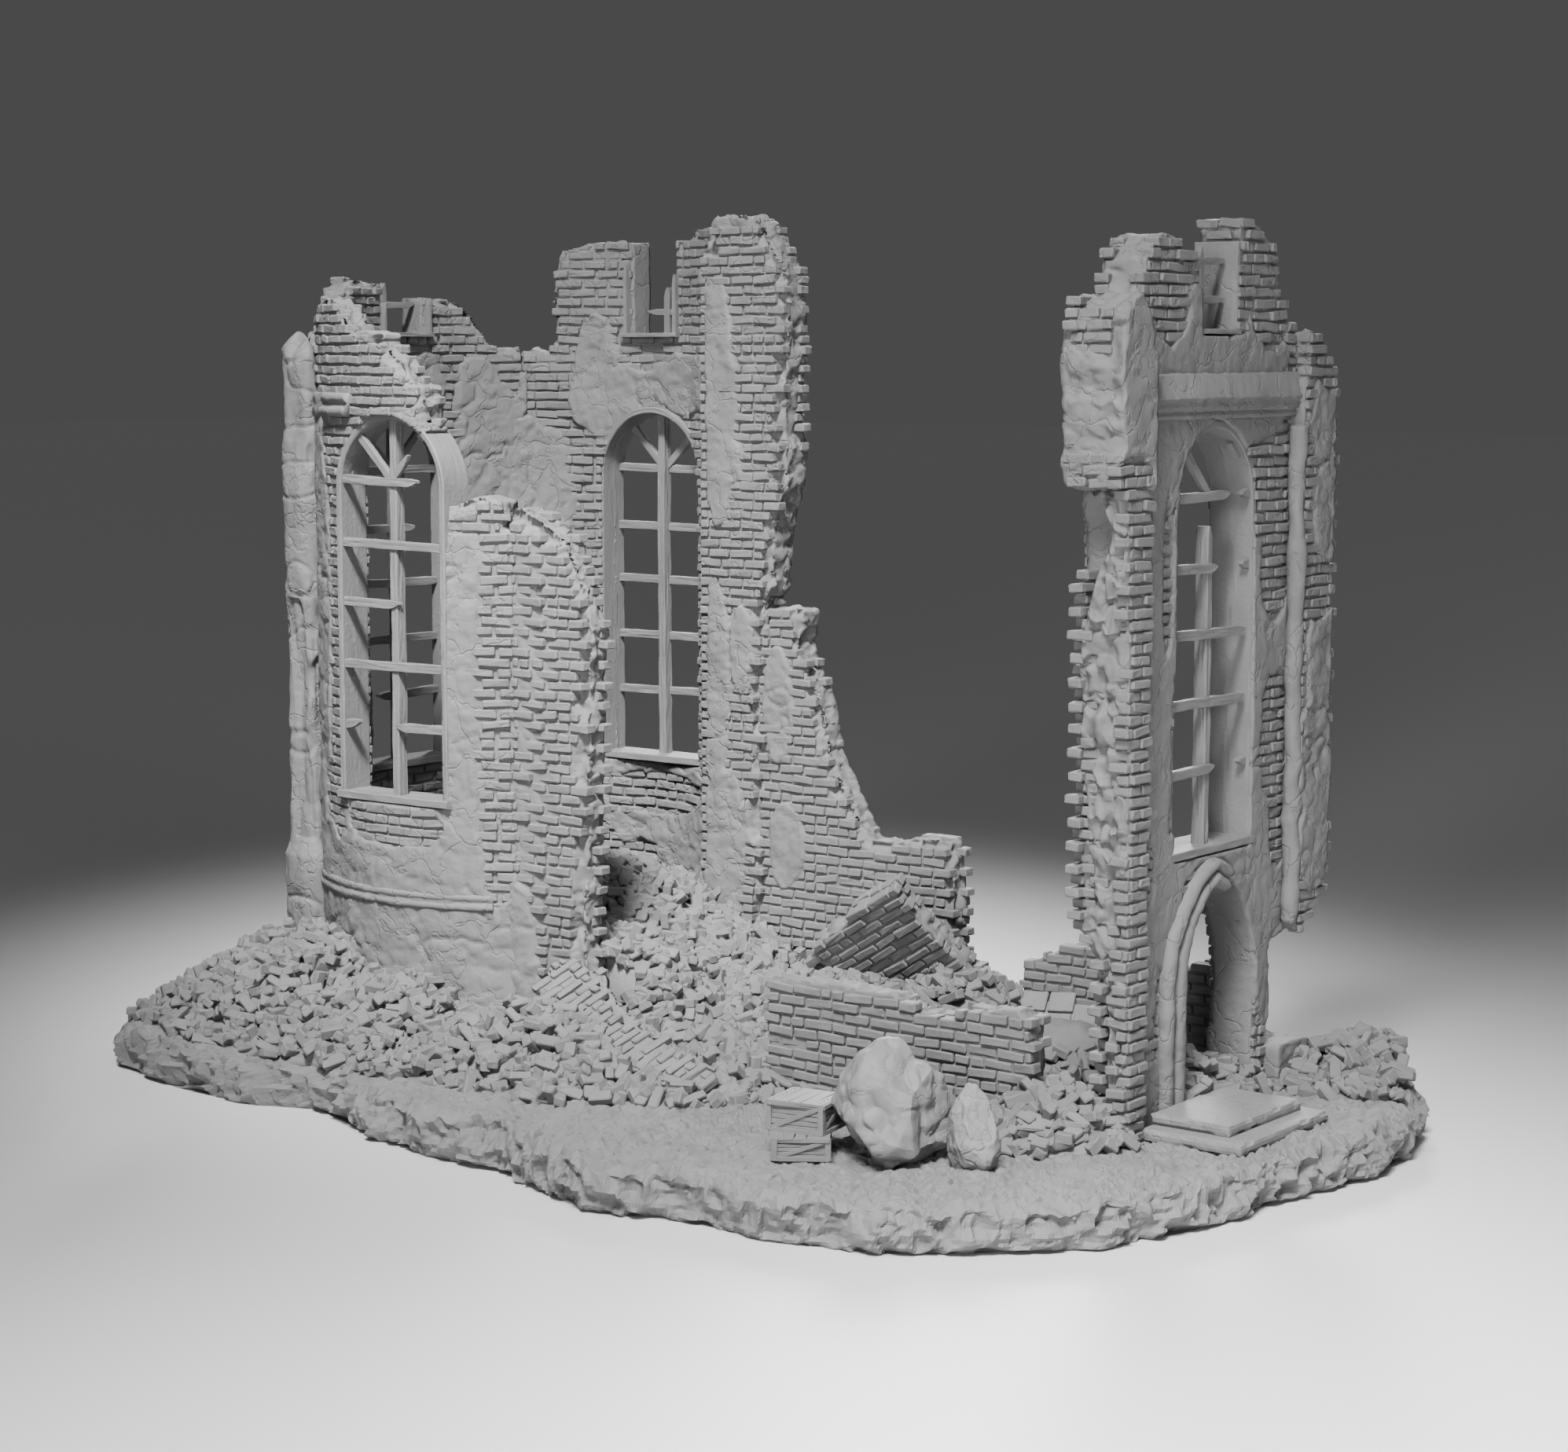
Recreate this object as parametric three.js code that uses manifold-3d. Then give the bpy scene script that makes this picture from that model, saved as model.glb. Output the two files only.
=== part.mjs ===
// A ruined chapel for 28 to 32 mm tabletop figures, as a kit of separate cast pieces.
//
// The chapel's own frame is used throughout: u runs along the nave from the centre of the round
// apse to the door front, v runs across the nave (negative is the open side), and w is the height
// above the ground. All sizes are millimetres.
import * as THREE from "three";
import { mergeVertices } from "three/addons/utils/BufferGeometryUtils.js";
import Module from "manifold-3d";

const wasm = await Module();
wasm.setup();

// ---------------------------------------------------------------- driving dimensions

const GAP = 0.3; // glue clearance between neighbouring pieces
const TENON = 4; // how far each standing piece drops into its socket in the base
const BASE_HEIGHT = 11;
const RIM = 4; // rounding of the base's rocky rim
const BASE_CENTRE = { u: 82.5, v: -20.5 };
const YARD = 0.96; // the part of the base's outline that the scatter keeps to

const APSE = { outer: 59, inner: 50, opening: 54.8, column: 137 }; // radii, and angles in degrees
const COLUMN = { orbit: 61.2, shaft: 4.8, plinth: 6.6, plinthTop: 44 };
const COLUMN_TOPS = { front: 181, rear: 166 };
const NAVE = { outer: 45.5, inner: 36.5 };
const FRONT = { back: 198, wall: 210.5, pilaster: 214.8, recess: 36.5 };

const WINDOW = { half: 19.3, sill: 61.1, apex: 162, board: 1.8, face: 57, depth: 9.5 };
const BAR = { height: 2.4, depth: 2.5, mullion: 1.1, mullionDepth: 5, mortise: 1.1 };
const BAR_HEIGHTS = [80.8, 96.6, 112.6, 127.9, 144.4];
const SMALL = { half: 9.6, sill: 181.6, board: 1.2 };
const DOOR = { half: 23.3, apex: 60.5, inner: 13.2, innerApex: 53.5 };

const TILE = 7.2;

// Broken outlines, each a handful of [along, height] points that follow the masonry.
const FRONT_APSE_TOP = [
  [34, 139], [32.6, 139.6], [25.5, 141], [19.6, 138], [16, 135.5], [14, 150], [12.8, 163.4],
  [12, 169.6], [7, 170.4], [5.5, 174.8], [0.5, 178], [-3, 182.2], [-14, 183.6], [-20, 189.5],
  [-27, 192], [-36, 189.5], [-48, 184],
];
const END_APSE_TOP = [
  [48, 178], [31, 178], [28.4, 179.5], [23.6, 187], [19.3, 191.3], [9.9, 192.6], [-9.5, 196],
  [-22, 196.8], [-28, 195], [-34, 188], [-48, 180],
];
const REAR_APSE_TOP = [
  [-48, 178], [-33, 178], [-30.3, 182.5], [-31.5, 192.5], [-29.2, 205.8], [-14.8, 209],
  [-4, 207.7], [11.2, 208.5], [17.6, 211], [34.5, 212],
];
const FRONT_STUB = [
  [34.4, -TENON], [57, -TENON], [57, 0], [53.5, 32], [55.5, 60], [56.7, 108.7], [54.2, 118.5],
  [49, 130], [42.5, 134], [34.4, 139],
];
const REAR_PIER = [
  [29, -TENON], [49, -TENON], [49, 109.6], [52, 114], [53, 128], [57.5, 146], [56.5, 165],
  [58.3, 185], [57, 198], [52, 206], [47.9, 213], [44, 214], [30, 214], [29, 211],
];
const STEPPED_WALL = [
  [49.3, -TENON], [111.8, -TENON], [111.8, 27], [110.4, 50], [96.5, 48.8], [94, 47.3],
  [84, 47.4], [81, 51.4], [74.4, 61.5], [70.4, 70], [67.7, 82], [60, 99], [62.4, 108.6],
  [49.3, 108.9],
];
const FRONT_LOW_WALL = [
  [114, -TENON], [189.5, -TENON], [189.5, 24], [185.6, 28], [171.5, 25.4], [169, 23.3],
  [159, 23.8], [150, 27.4], [121, 27.5], [114, 26],
];
const REAR_LOW_WALL = [
  [134, -TENON], [197.7, -TENON], [197.7, 27], [190, 26], [175, 22.5], [161, 23.5],
  [153, 25.5], [145, 25], [134, 19],
];
const FACADE = [
  [-36.2, -TENON], [28, -TENON], [28, 36.6], [36.2, 37], [36.2, 183.5], [33, 185], [30, 191],
  [27.2, 201], [24, 203.5], [17.6, 207], [9.9, 209], [9.9, 199], [-9.9, 199], [-12.8, 199.5],
  [-19, 203], [-25, 204.5], [-28, 203], [-31, 199.5], [-33, 195], [-36.2, 189.4],
];
const LEFT_PILASTER = [
  [-49, 147], [-36.5, 147], [-36.5, 181], [-38.5, 187.5], [-42, 191.5], [-46, 189.5], [-49, 185.5],
];
const RIGHT_PILASTER = [
  [36.5, 37.3], [41, 40], [49, 46], [49, 174], [45, 179], [42, 181], [36.5, 183],
];
const GROUND_OUTLINE = [
  [-82, -82], [-64, -97], [-40, -106], [-8, -107], [9, -100], [33, -109], [64, -119],
  [86, -118], [112, -126], [129, -131], [148, -126], [180, -124], [200, -119], [214, -110],
  [236, -87], [247, -60], [249, -34], [252, -11], [257, 2], [254, 24], [245, 48], [230, 70],
  [208, 82], [176, 82], [142, 72], [104, 72], [62, 82], [20, 90], [-24, 90], [-62, 80],
  [-84, 54], [-92, 18], [-90, -20], [-87, -52],
];

// ---------------------------------------------------------------- solids

const radians = THREE.MathUtils.degToRad;

function solid(geometry) {
  const bare = geometry.clone();
  bare.deleteAttribute("normal");
  bare.deleteAttribute("uv");
  const merged = mergeVertices(bare, 1e-4);
  return new wasm.Manifold(
    new wasm.Mesh({
      numProp: 3,
      vertProperties: merged.attributes.position.array,
      triVerts: new Uint32Array(merged.index.array),
    }),
  );
}

function geometryOf(body) {
  const { vertProperties, triVerts } = body.getMesh();
  const geometry = new THREE.BufferGeometry();
  geometry.setAttribute("position", new THREE.BufferAttribute(vertProperties, 3));
  geometry.setIndex(new THREE.BufferAttribute(triVerts, 1));
  return geometry;
}

const united = (bodies) => bodies.reduce((all, body) => all.add(body));
const cut = (body, tools) => tools.reduce((rest, tool) => rest.subtract(tool), body);

const shapeOf = (points) => new THREE.Shape(points.map(([x, y]) => new THREE.Vector2(x, y)));

function prism(shape, depth, matrix, steps = 8) {
  const settings = { depth, bevelEnabled: false, curveSegments: steps };
  return solid(new THREE.ExtrudeGeometry(shape, settings).applyMatrix4(matrix));
}

const axes = (x, y, z, origin) => new THREE.Matrix4().makeBasis(x, y, z).setPosition(origin);
const U = new THREE.Vector3(1, 0, 0);
const V = new THREE.Vector3(0, 1, 0);
const W = new THREE.Vector3(0, 0, 1);

// A plan outline (u, v) standing from height low to high.
function standing(shape, low, high, steps) {
  return prism(shape, high - low, new THREE.Matrix4().makeTranslation(0, 0, low), steps);
}

// A long elevation (u, w), from v = near to v = far.
function along(shape, near, far, steps) {
  const matrix = axes(U, W, V.clone().negate(), new THREE.Vector3(0, far, 0));
  return prism(shape, far - near, matrix, steps);
}

// A cross elevation (v, w), from u = back to u = front.
function across(shape, back, front, steps) {
  return prism(shape, front - back, axes(V, W, U, new THREE.Vector3(back, 0, 0)), steps);
}

function block(u0, u1, v0, v1, w0, w1) {
  const box = new THREE.BoxGeometry(u1 - u0, v1 - v0, w1 - w0);
  return solid(box.translate((u0 + u1) / 2, (v0 + v1) / 2, (w0 + w1) / 2));
}

// A curved band of wall between two radii and two angles, in degrees from +u.
function ring(inner, outer, from, to, low, high) {
  const shape = new THREE.Shape();
  shape.absarc(0, 0, outer, radians(from), radians(to), false);
  shape.absarc(0, 0, inner, radians(to), radians(from), true);
  return standing(shape, low, high, Math.ceil((to - from) / 7));
}

// A turned post on the vertical axis through (u, v): [radius, height] points from the axis up.
function post(u, v, profile, sides = 12) {
  const points = profile.map(([radius, height]) => new THREE.Vector2(radius, height));
  const lathe = new THREE.LatheGeometry(points, sides);
  return solid(lathe.rotateX(Math.PI / 2).translate(u, v, 0));
}

// The area under a broken outline, down to the bottom of the tenon.
function under(top) {
  const [first, last] = [top[0][0], top[top.length - 1][0]];
  return shapeOf([[last, -TENON - 1], [first, -TENON - 1], ...top]);
}

// ---------------------------------------------------------------- windows and door

function roundArch(half, sill, apex) {
  const shape = new THREE.Shape();
  shape.moveTo(-half, sill);
  shape.lineTo(half, sill);
  shape.lineTo(half, apex - half);
  shape.absarc(0, apex - half, half, 0, Math.PI, false);
  return shape;
}

// A pointed arch: two arcs that spring from the jambs and meet at the crown.
function pointedArch(half, foot, apex) {
  const radius = 1.5 * half;
  const rise = Math.sqrt(radius ** 2 - (radius - half) ** 2);
  const spring = apex - rise;
  const turn = Math.asin(rise / radius);
  const shape = new THREE.Shape();
  shape.moveTo(-half, foot);
  shape.lineTo(half, foot);
  shape.lineTo(half, spring);
  shape.absarc(half - radius, spring, radius, 0, turn, false);
  shape.absarc(radius - half, spring, radius, Math.PI - turn, Math.PI, false);
  return shape;
}

// A window faces -v when turn is 0; face is the distance of its outer side from the axis.
function onSide(turn) {
  return new THREE.Matrix4().makeRotationZ(radians(turn));
}

function panel(shape, face, depth, place, steps = 8) {
  const upright = axes(U, W, V.clone().negate(), new THREE.Vector3(0, depth - face, 0));
  return prism(shape, depth, place.clone().multiply(upright), steps);
}

function bar(x0, x1, z0, z1, face, depth, place) {
  return panel(shapeOf([[x0, z0], [x1, z0], [x1, z1], [x0, z1]]), face, depth, place);
}

// A glazing strut from the crossing of mullion and top bar out to the arch.
function strut(side, grow, face, place) {
  const foot = new THREE.Vector2(side * (BAR.mullion + 0.2), BAR_HEIGHTS[4] + 0.6);
  const head = new THREE.Vector2(side * 12.4, 156.4);
  const half = head.clone().sub(foot).normalize().multiplyScalar(0.9 + grow);
  const normal = new THREE.Vector2(-half.y, half.x);
  const corners = [
    foot.clone().sub(normal), head.clone().sub(normal), head.clone().add(normal),
    foot.clone().add(normal),
  ];
  const ordered = corners.map((p) => [p.x, p.y]);
  return panel(shapeOf(ordered), face - 0.6 + grow, 1.8 + 2 * grow, place);
}

// The lattice: a mullion, and bars that run from x0 to x1. grow widens it to cut its mortises.
function lattice({ bars, struts, mullionTop }, face, place, grow = 0) {
  const end = WINDOW.half - WINDOW.board + BAR.mortise - GAP + grow;
  const foot = WINDOW.sill + WINDOW.board - BAR.mortise + GAP - grow;
  const front = face - 1;
  const pieces = [
    bar(-BAR.mullion - grow, BAR.mullion + grow, foot, mullionTop + grow,
      front + grow, BAR.mullionDepth + 2 * grow, place),
  ];
  bars.forEach(([x0, x1], row) => {
    const middle = BAR_HEIGHTS[row];
    pieces.push(
      bar(Math.max(x0, -1) * end, Math.min(x1, 1) * end,
        middle - BAR.height / 2 - grow, middle + BAR.height / 2 + grow,
        front - 0.5 + grow, BAR.depth + 2 * grow, place),
    );
  });
  struts.forEach((side) => pieces.push(strut(side, grow, front, place)));
  return united(pieces);
}

function windowOpening(place, face, depth) {
  const arch = roundArch(WINDOW.half + GAP, WINDOW.sill - GAP, WINDOW.apex + GAP);
  return panel(arch, face + 4, depth + 10, place);
}

function windowFrame(style, face, depth, place) {
  const { half, sill, apex, board } = WINDOW;
  const outer = panel(roundArch(half, sill, apex), face, depth, place);
  const light = panel(roundArch(half - board, sill + board, apex - board), face + 1, depth + 2, place);
  return cut(outer, [light, lattice(style, face, place, GAP)]);
}

// A small upper window: a sill board and two jamb boards of unequal height.
function smallFrame(leftTop, rightTop, face, depth, place) {
  const { half, sill, board } = SMALL;
  const outline = [
    [-half, sill], [half, sill], [half, rightTop], [half - board, rightTop],
    [half - board, sill + board], [-half + board, sill + board], [-half + board, leftTop],
    [-half, leftTop],
  ];
  return panel(shapeOf(outline), face, depth, place);
}

function smallBars({ x, top, cross }, face, place) {
  const foot = SMALL.sill + SMALL.board + GAP;
  const reach = SMALL.half - SMALL.board - GAP;
  const upright = bar(x - 1, x + 1, foot, top, face - 3, 1.8, place);
  const rails = cross.map(([height, x0, x1]) =>
    bar(x0 * reach, x1 * reach, height - 0.8, height + 0.8, face - 3, 1.8, place),
  );
  return united([upright, ...rails]);
}

function smallOpening(face, depth, place) {
  const half = SMALL.half + GAP;
  return bar(-half, half, SMALL.sill - GAP, 230, face + 6, depth + 14, place);
}

const SIDES = { front: onSide(0), end: onSide(-90), rear: onSide(180) };
const FACADE_SIDE = onSide(90);
const FACADE_FACE = FRONT.wall - 0.4;
const FACADE_DEPTH = FACADE_FACE - FRONT.back - 0.4;
const STYLES = {
  front: { bars: [[-0.1, 1], [-1, 1], [-1, 0.1], [-1, 1], [-1, 0.5]], struts: [-1], mullionTop: 158.6 },
  end: { bars: [[-1, 0.35], [-1, 1], [-1, 1], [-0.5, 1], [-1, 1]], struts: [-1, 1], mullionTop: 158.6 },
  rear: { bars: [[-1, 1], [-1, 1], [-1, 1], [-1, 1], [-1, 1]], struts: [-1, 1], mullionTop: 158.6 },
  facade: { bars: [[-1, 0.15], [-1, 0.9], [-1, 0.9], [-1, 0.15], [-1, 0.45]], struts: [-1], mullionTop: 145.6 },
};

// ---------------------------------------------------------------- the pieces

const pieces = new Map();

function piece(name, body, material) {
  pieces.set(name, { body, material });
  return body;
}

const stone = (name, tint, roughness) =>
  new THREE.MeshStandardMaterial({ name, color: tint, roughness, metalness: 0 });
const PLASTER = stone("plaster", 0x8f8f8f, 0.85);
const BRICK = stone("brick", 0x868686, 0.88);
const TIMBER = stone("timber", 0x949494, 0.8);
const EARTH = stone("earth", 0x8a8a8a, 0.92);
const ROCK = stone("rock", 0x909090, 0.85);

const SEGMENTS = {
  front: { from: 360 - APSE.column, to: 360 - APSE.opening, top: FRONT_APSE_TOP, sideways: false },
  end: { from: APSE.column, to: 360 - APSE.column, top: END_APSE_TOP, sideways: true },
  rear: { from: APSE.opening, to: APSE.column, top: REAR_APSE_TOP, sideways: false },
};
const JOINT = THREE.MathUtils.radToDeg(GAP / 2 / APSE.inner);
const COLUMN_ANGLES = { front: 360 - APSE.column, rear: APSE.column };

function columnAt(side, grow = 0) {
  const angle = COLUMN_ANGLES[side];
  const crown = COLUMN_TOPS[side] + grow;
  const u = COLUMN.orbit * Math.cos(radians(angle));
  const v = COLUMN.orbit * Math.sin(radians(angle));
  const [shaft, plinth, top] = [COLUMN.shaft + grow, COLUMN.plinth + grow, COLUMN.plinthTop + grow];
  const profile = [
    [0, -TENON - grow], [shaft, -TENON - grow], [plinth, -TENON - grow], [plinth, top - 3],
    [shaft, top], [shaft, crown - 6], [shaft - 1.5, crown], [0, crown + 1],
  ];
  return post(u, v, profile);
}

function apse() {
  const sockets = Object.keys(COLUMN_ANGLES).map((side) => columnAt(side, GAP));
  for (const [side, { from, to, top, sideways }] of Object.entries(SEGMENTS)) {
    const place = SIDES[side];
    const shell = ring(APSE.inner, APSE.outer, from + JOINT, to - JOINT, -TENON, 216);
    const mask = sideways ? across(under(top), -70, 0) : along(under(top), -70, 70);
    const tools = [...sockets, windowOpening(place, WINDOW.face, WINDOW.depth)];
    if (side !== "front") tools.push(smallOpening(WINDOW.face, WINDOW.depth, place));
    piece(`apse_wall_${side}`, cut(shell.intersect(mask), tools), PLASTER);
    piece(`window_frame_${side}`, windowFrame(STYLES[side], WINDOW.face, WINDOW.depth, place), TIMBER);
    piece(`window_bars_${side}`, lattice(STYLES[side], WINDOW.face, place), TIMBER);
  }
  for (const side of Object.keys(COLUMN_ANGLES)) {
    piece(`apse_column_${side}`, columnAt(side), PLASTER);
  }
  const bandArcs = { front: [231, 300], end: [144.5, 215.5], rear: [60, 129] };
  const corniceArcs = { front: [229.5, 257], end: [143, 217], rear: [58, 130.5] };
  const skin = APSE.outer + GAP;
  for (const [side, [from, to]] of Object.entries(bandArcs)) {
    piece(`apse_band_${side}`, ring(skin, skin + 1.2, from, to, 34.6, 38.8), PLASTER);
  }
  for (const [side, [from, to]] of Object.entries(corniceArcs)) {
    const fascia = ring(skin, skin + 0.9, from, to, 163, 166.6);
    const roll = ring(skin, skin + 1.6, from, to, 160.9, 163.1);
    piece(`apse_cornice_${side}`, fascia.add(roll), PLASTER);
  }
  const upper = { end: [192.4, 190.5], rear: [199, 202] };
  const glazing = {
    end: { x: 4.6, top: 196.5, cross: [[190.4, -0.9, 1]] },
    rear: { x: -2.4, top: 195.5, cross: [[188.6, -1, 0.55]] },
  };
  for (const side of ["end", "rear"]) {
    const [left, right] = upper[side];
    piece(`small_frame_${side}`, smallFrame(left, right, WINDOW.face, WINDOW.depth, SIDES[side]), TIMBER);
    piece(`small_bars_${side}`, smallBars(glazing[side], WINDOW.face, SIDES[side]), TIMBER);
  }
}

function naveWalls() {
  const { inner, outer } = NAVE;
  const shell = ring(APSE.inner - GAP, APSE.outer + GAP, APSE.opening - 2, 90, -TENON - 1, 230);
  piece("nave_wall_front_stub", along(shapeOf(FRONT_STUB), -outer, -inner), BRICK);
  piece("chancel_pier_rear", along(shapeOf(REAR_PIER), inner - 2, outer).subtract(shell), PLASTER);
  piece("nave_wall_rear_stepped", along(shapeOf(STEPPED_WALL), inner, outer), BRICK);
  piece("nave_wall_front_low", along(shapeOf(FRONT_LOW_WALL), -outer, -inner), BRICK);
  piece("nave_wall_rear_low", along(shapeOf(REAR_LOW_WALL), inner, outer), BRICK);
}

// The door surround survives on the left jamb and a little past the crown.
function doorSurround() {
  const { half, apex, inner, innerApex } = DOOR;
  const outer = across(pointedArch(half - GAP, GAP, apex - GAP), 203, FRONT.pilaster - 1.5);
  const light = across(pointedArch(inner, -1, innerApex), 200, FRONT.pilaster);
  return cut(outer, [light, block(195, 220, 4, 40, -1, 70)]);
}

function facade() {
  const { back, wall, pilaster, recess } = FRONT;
  const opening = across(pointedArch(DOOR.half, -TENON - 1, DOOR.apex), back - 5, pilaster + 5);
  const tools = [
    opening,
    windowOpening(FACADE_SIDE, FACADE_FACE, FACADE_DEPTH),
    smallOpening(FACADE_FACE, FACADE_DEPTH, FACADE_SIDE),
    block(back - 1, back + 5.5, -40, -27, -TENON - 1, 46),
  ];
  piece("facade_wall", cut(across(shapeOf(FACADE), back, wall), tools), PLASTER);
  piece("facade_pilaster_left", across(shapeOf(LEFT_PILASTER), back + 1.3, pilaster), PLASTER);
  const core = [[-42.5, -TENON], [-recess, -TENON], [-recess, 146.7], [-45, 146.7], [-43, 60]];
  const coreBody = across(shapeOf(core), back + 3, pilaster);
  const bites = [block(back, back + 9, -50, -30, -5, 46), block(back, back + 7, -50, -30, 136, 148)];
  piece("facade_pier_left_core", cut(coreBody, bites), BRICK);
  piece("facade_pilaster_right", across(shapeOf(RIGHT_PILASTER), back + 1.3, pilaster), PLASTER);
  piece("facade_plinth_right", block(back + 2, pilaster - 0.5, 28.3, 41.5, -TENON, 11), PLASTER);
  const nook = 2.1;
  const shaft = [[0, 40], [nook, 40], [nook, 160], [0, 160]];
  piece("facade_nook_shaft", post(wall + GAP + nook, recess - GAP - nook, shaft, 10), PLASTER);
  const front = wall + GAP;
  const moulding = [
    [front, 162.6], [front + 1.4, 162.6], [front + 1.4, 164.2], [front + 2, 164.6],
    [front + 2, 166.6], [front + 2.6, 167.2], [front + 1.6, 172.4], [front, 172.4],
  ];
  piece("facade_cornice", along(shapeOf(moulding), -recess + GAP, recess - GAP), PLASTER);
  piece("door_surround", doorSurround(), PLASTER);
  const style = STYLES.facade;
  piece("facade_window_frame", windowFrame(style, FACADE_FACE, FACADE_DEPTH, FACADE_SIDE), TIMBER);
  piece("facade_window_bars", lattice(style, FACADE_FACE, FACADE_SIDE), TIMBER);
  piece("small_frame_facade", smallFrame(193, 196, FACADE_FACE, FACADE_DEPTH, FACADE_SIDE), TIMBER);
  const glazing = { x: -2.5, top: 201.5, cross: [[189.5, -1, 0.5], [198.4, -0.8, 0.6]] };
  piece("small_bars_facade", smallBars(glazing, FACADE_FACE, FACADE_SIDE), TIMBER);
}

function steps() {
  const start = FRONT.pilaster + GAP;
  piece("step_lower", block(start, 239.5, -35.5, 6.3, GAP, 2.6), ROCK);
  piece("step_upper", block(start, 234, -31, 2.8, 2.6 + GAP, 5.3), ROCK);
}

// ---------------------------------------------------------------- fallen pieces and scatter

// A slab lying in its own plane, turned about w, then u, then v, and moved to a point.
function tilted(outline, thickness, [yaw, pitch, roll], [u, v, w], grow = 0) {
  const settings = {
    depth: thickness,
    bevelEnabled: grow > 0,
    bevelThickness: grow,
    bevelSize: grow,
    bevelSegments: 1,
  };
  const geometry = new THREE.ExtrudeGeometry(shapeOf(outline), settings);
  geometry.translate(0, 0, -thickness / 2);
  const turn = new THREE.Euler(radians(pitch), radians(roll), radians(yaw), "ZXY");
  geometry.applyMatrix4(new THREE.Matrix4().makeRotationFromEuler(turn));
  return solid(geometry.translate(u, v, w));
}

const rectangle = (length, width) => [
  [-length / 2, -width / 2], [length / 2, -width / 2], [length / 2, width / 2],
  [-length / 2, width / 2],
];

// A piece of fallen wall: x of its outline runs along the courses and y across them.
const SLAB = {
  outline: [
    [-24, 5], [-15, -8], [-4, -14], [-2, -21], [6, -24.5], [12.5, -21], [12, -10], [12.5, 0],
    [13.5, 10], [0, 9.6], [-17, 7.6],
  ],
  thickness: 7.5, along: [0.864, -0.042, 0.51], across: [-0.437, -0.563, 0.7], at: [110, 8, 28],
};
const FRAGMENT = {
  outline: [
    [-35, 7.5], [-35, -1.4], [-32, -8.2], [-18, -14.8], [-3.5, -10.5], [16, -11.3], [32, -7],
    [45, 4.5], [40.5, 7], [18.4, 3.4], [0, 2], [-12, 3.4], [-29.6, 7],
  ],
  thickness: 5, along: [0.924, -0.246, -0.293], across: [0.364, 0.8, 0.477], at: [81, -58, 14],
};
const FLOOR = { rows: 4, columns: 5, thickness: 2, turn: [22, 35, 0], at: [158.3, 28.2, 5.4] };
const PLANKS = {
  a: { size: [14, 2.4], turn: [-25, 0, 6], at: [122, -52, 4.4] },
  b: { size: [12, 2.2], turn: [-32, 0, 8], at: [135, -56, 3.6] },
};

// The outer face of the wall lies in the plane of the outline, and its thickness is behind it.
function fallenWall({ outline, thickness, along, across: up, at }, grow) {
  const x = new THREE.Vector3(...along).normalize();
  const y = new THREE.Vector3(...up).normalize();
  const z = x.clone().cross(y);
  const settings = {
    depth: thickness,
    bevelEnabled: grow > 0,
    bevelThickness: grow,
    bevelSize: grow,
    bevelSegments: 1,
  };
  const slab = new THREE.ExtrudeGeometry(shapeOf(outline), settings);
  slab.translate(0, 0, -thickness).applyMatrix4(axes(x, y, z, new THREE.Vector3(...at)));
  return cut(solid(slab), [block(-100, 300, -200, 200, -60, GAP)]);
}

function floorBody(grow) {
  const outline = rectangle(FLOOR.columns * TILE, FLOOR.rows * TILE);
  const slab = tilted(outline, FLOOR.thickness, FLOOR.turn, FLOOR.at, grow);
  return cut(slab, [block(100, 200, -50, 60, -60, GAP)]);
}

function mound([u, v, height], [alongU, alongV], crown = 0.2) {
  const cone = new THREE.CylinderGeometry(crown, 1, height - GAP, 14);
  cone.rotateX(Math.PI / 2).scale(alongU, alongV, 1);
  return solid(cone.translate(u, v, GAP + (height - GAP) / 2));
}

// A rounded rock: a low-detail sphere, squashed, with its foot cut flat.
function boulder([u, v], [alongU, alongV, height], turn) {
  const ball = new THREE.IcosahedronGeometry(1, 1).scale(alongU, alongV, height * 0.62);
  ball.rotateZ(radians(turn)).translate(u, v, height * 0.38);
  return solid(ball).intersect(block(u - 40, u + 40, v - 40, v + 40, GAP, 60));
}

function crate([u, v, w], size, height, turn) {
  const box = new THREE.BoxGeometry(size[0], size[1], height);
  return solid(box.rotateZ(radians(turn)).translate(u, v, w + height / 2));
}

function scatter() {
  piece("crate_lower", crate([161.3, -93.8, GAP], [12.3, 12], 5.2, 36), TIMBER);
  piece("crate_upper", crate([160.1, -90.2, 5.2 + 2 * GAP], [12, 12.4], 6.6, 10.5), TIMBER);
  piece("boulder_large", boulder([178.8, -82.4], [13.6, 12.4, 27], 20), ROCK);
  piece("boulder_small", boulder([198, -80.4], [6, 5.6, 20], 0), ROCK);
  for (const [name, { size, turn, at }] of Object.entries(PLANKS)) {
    piece(`fallen_plank_${name}`, tilted(rectangle(...size), 1, turn, at), TIMBER);
  }
  piece("fallen_wall_slab", fallenWall(SLAB, 0), BRICK);
  const stub = block(30, 57 + GAP, -NAVE.outer - GAP, -NAVE.inner, -1, 60);
  piece("fallen_wall_fragment", cut(fallenWall(FRAGMENT, 0), [stub]), BRICK);
  const rearWall = block(100, 200, NAVE.inner - GAP, 60, -5, 40);
  piece("floor_tiles", floorBody(0).subtract(rearWall), ROCK);
}

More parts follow.
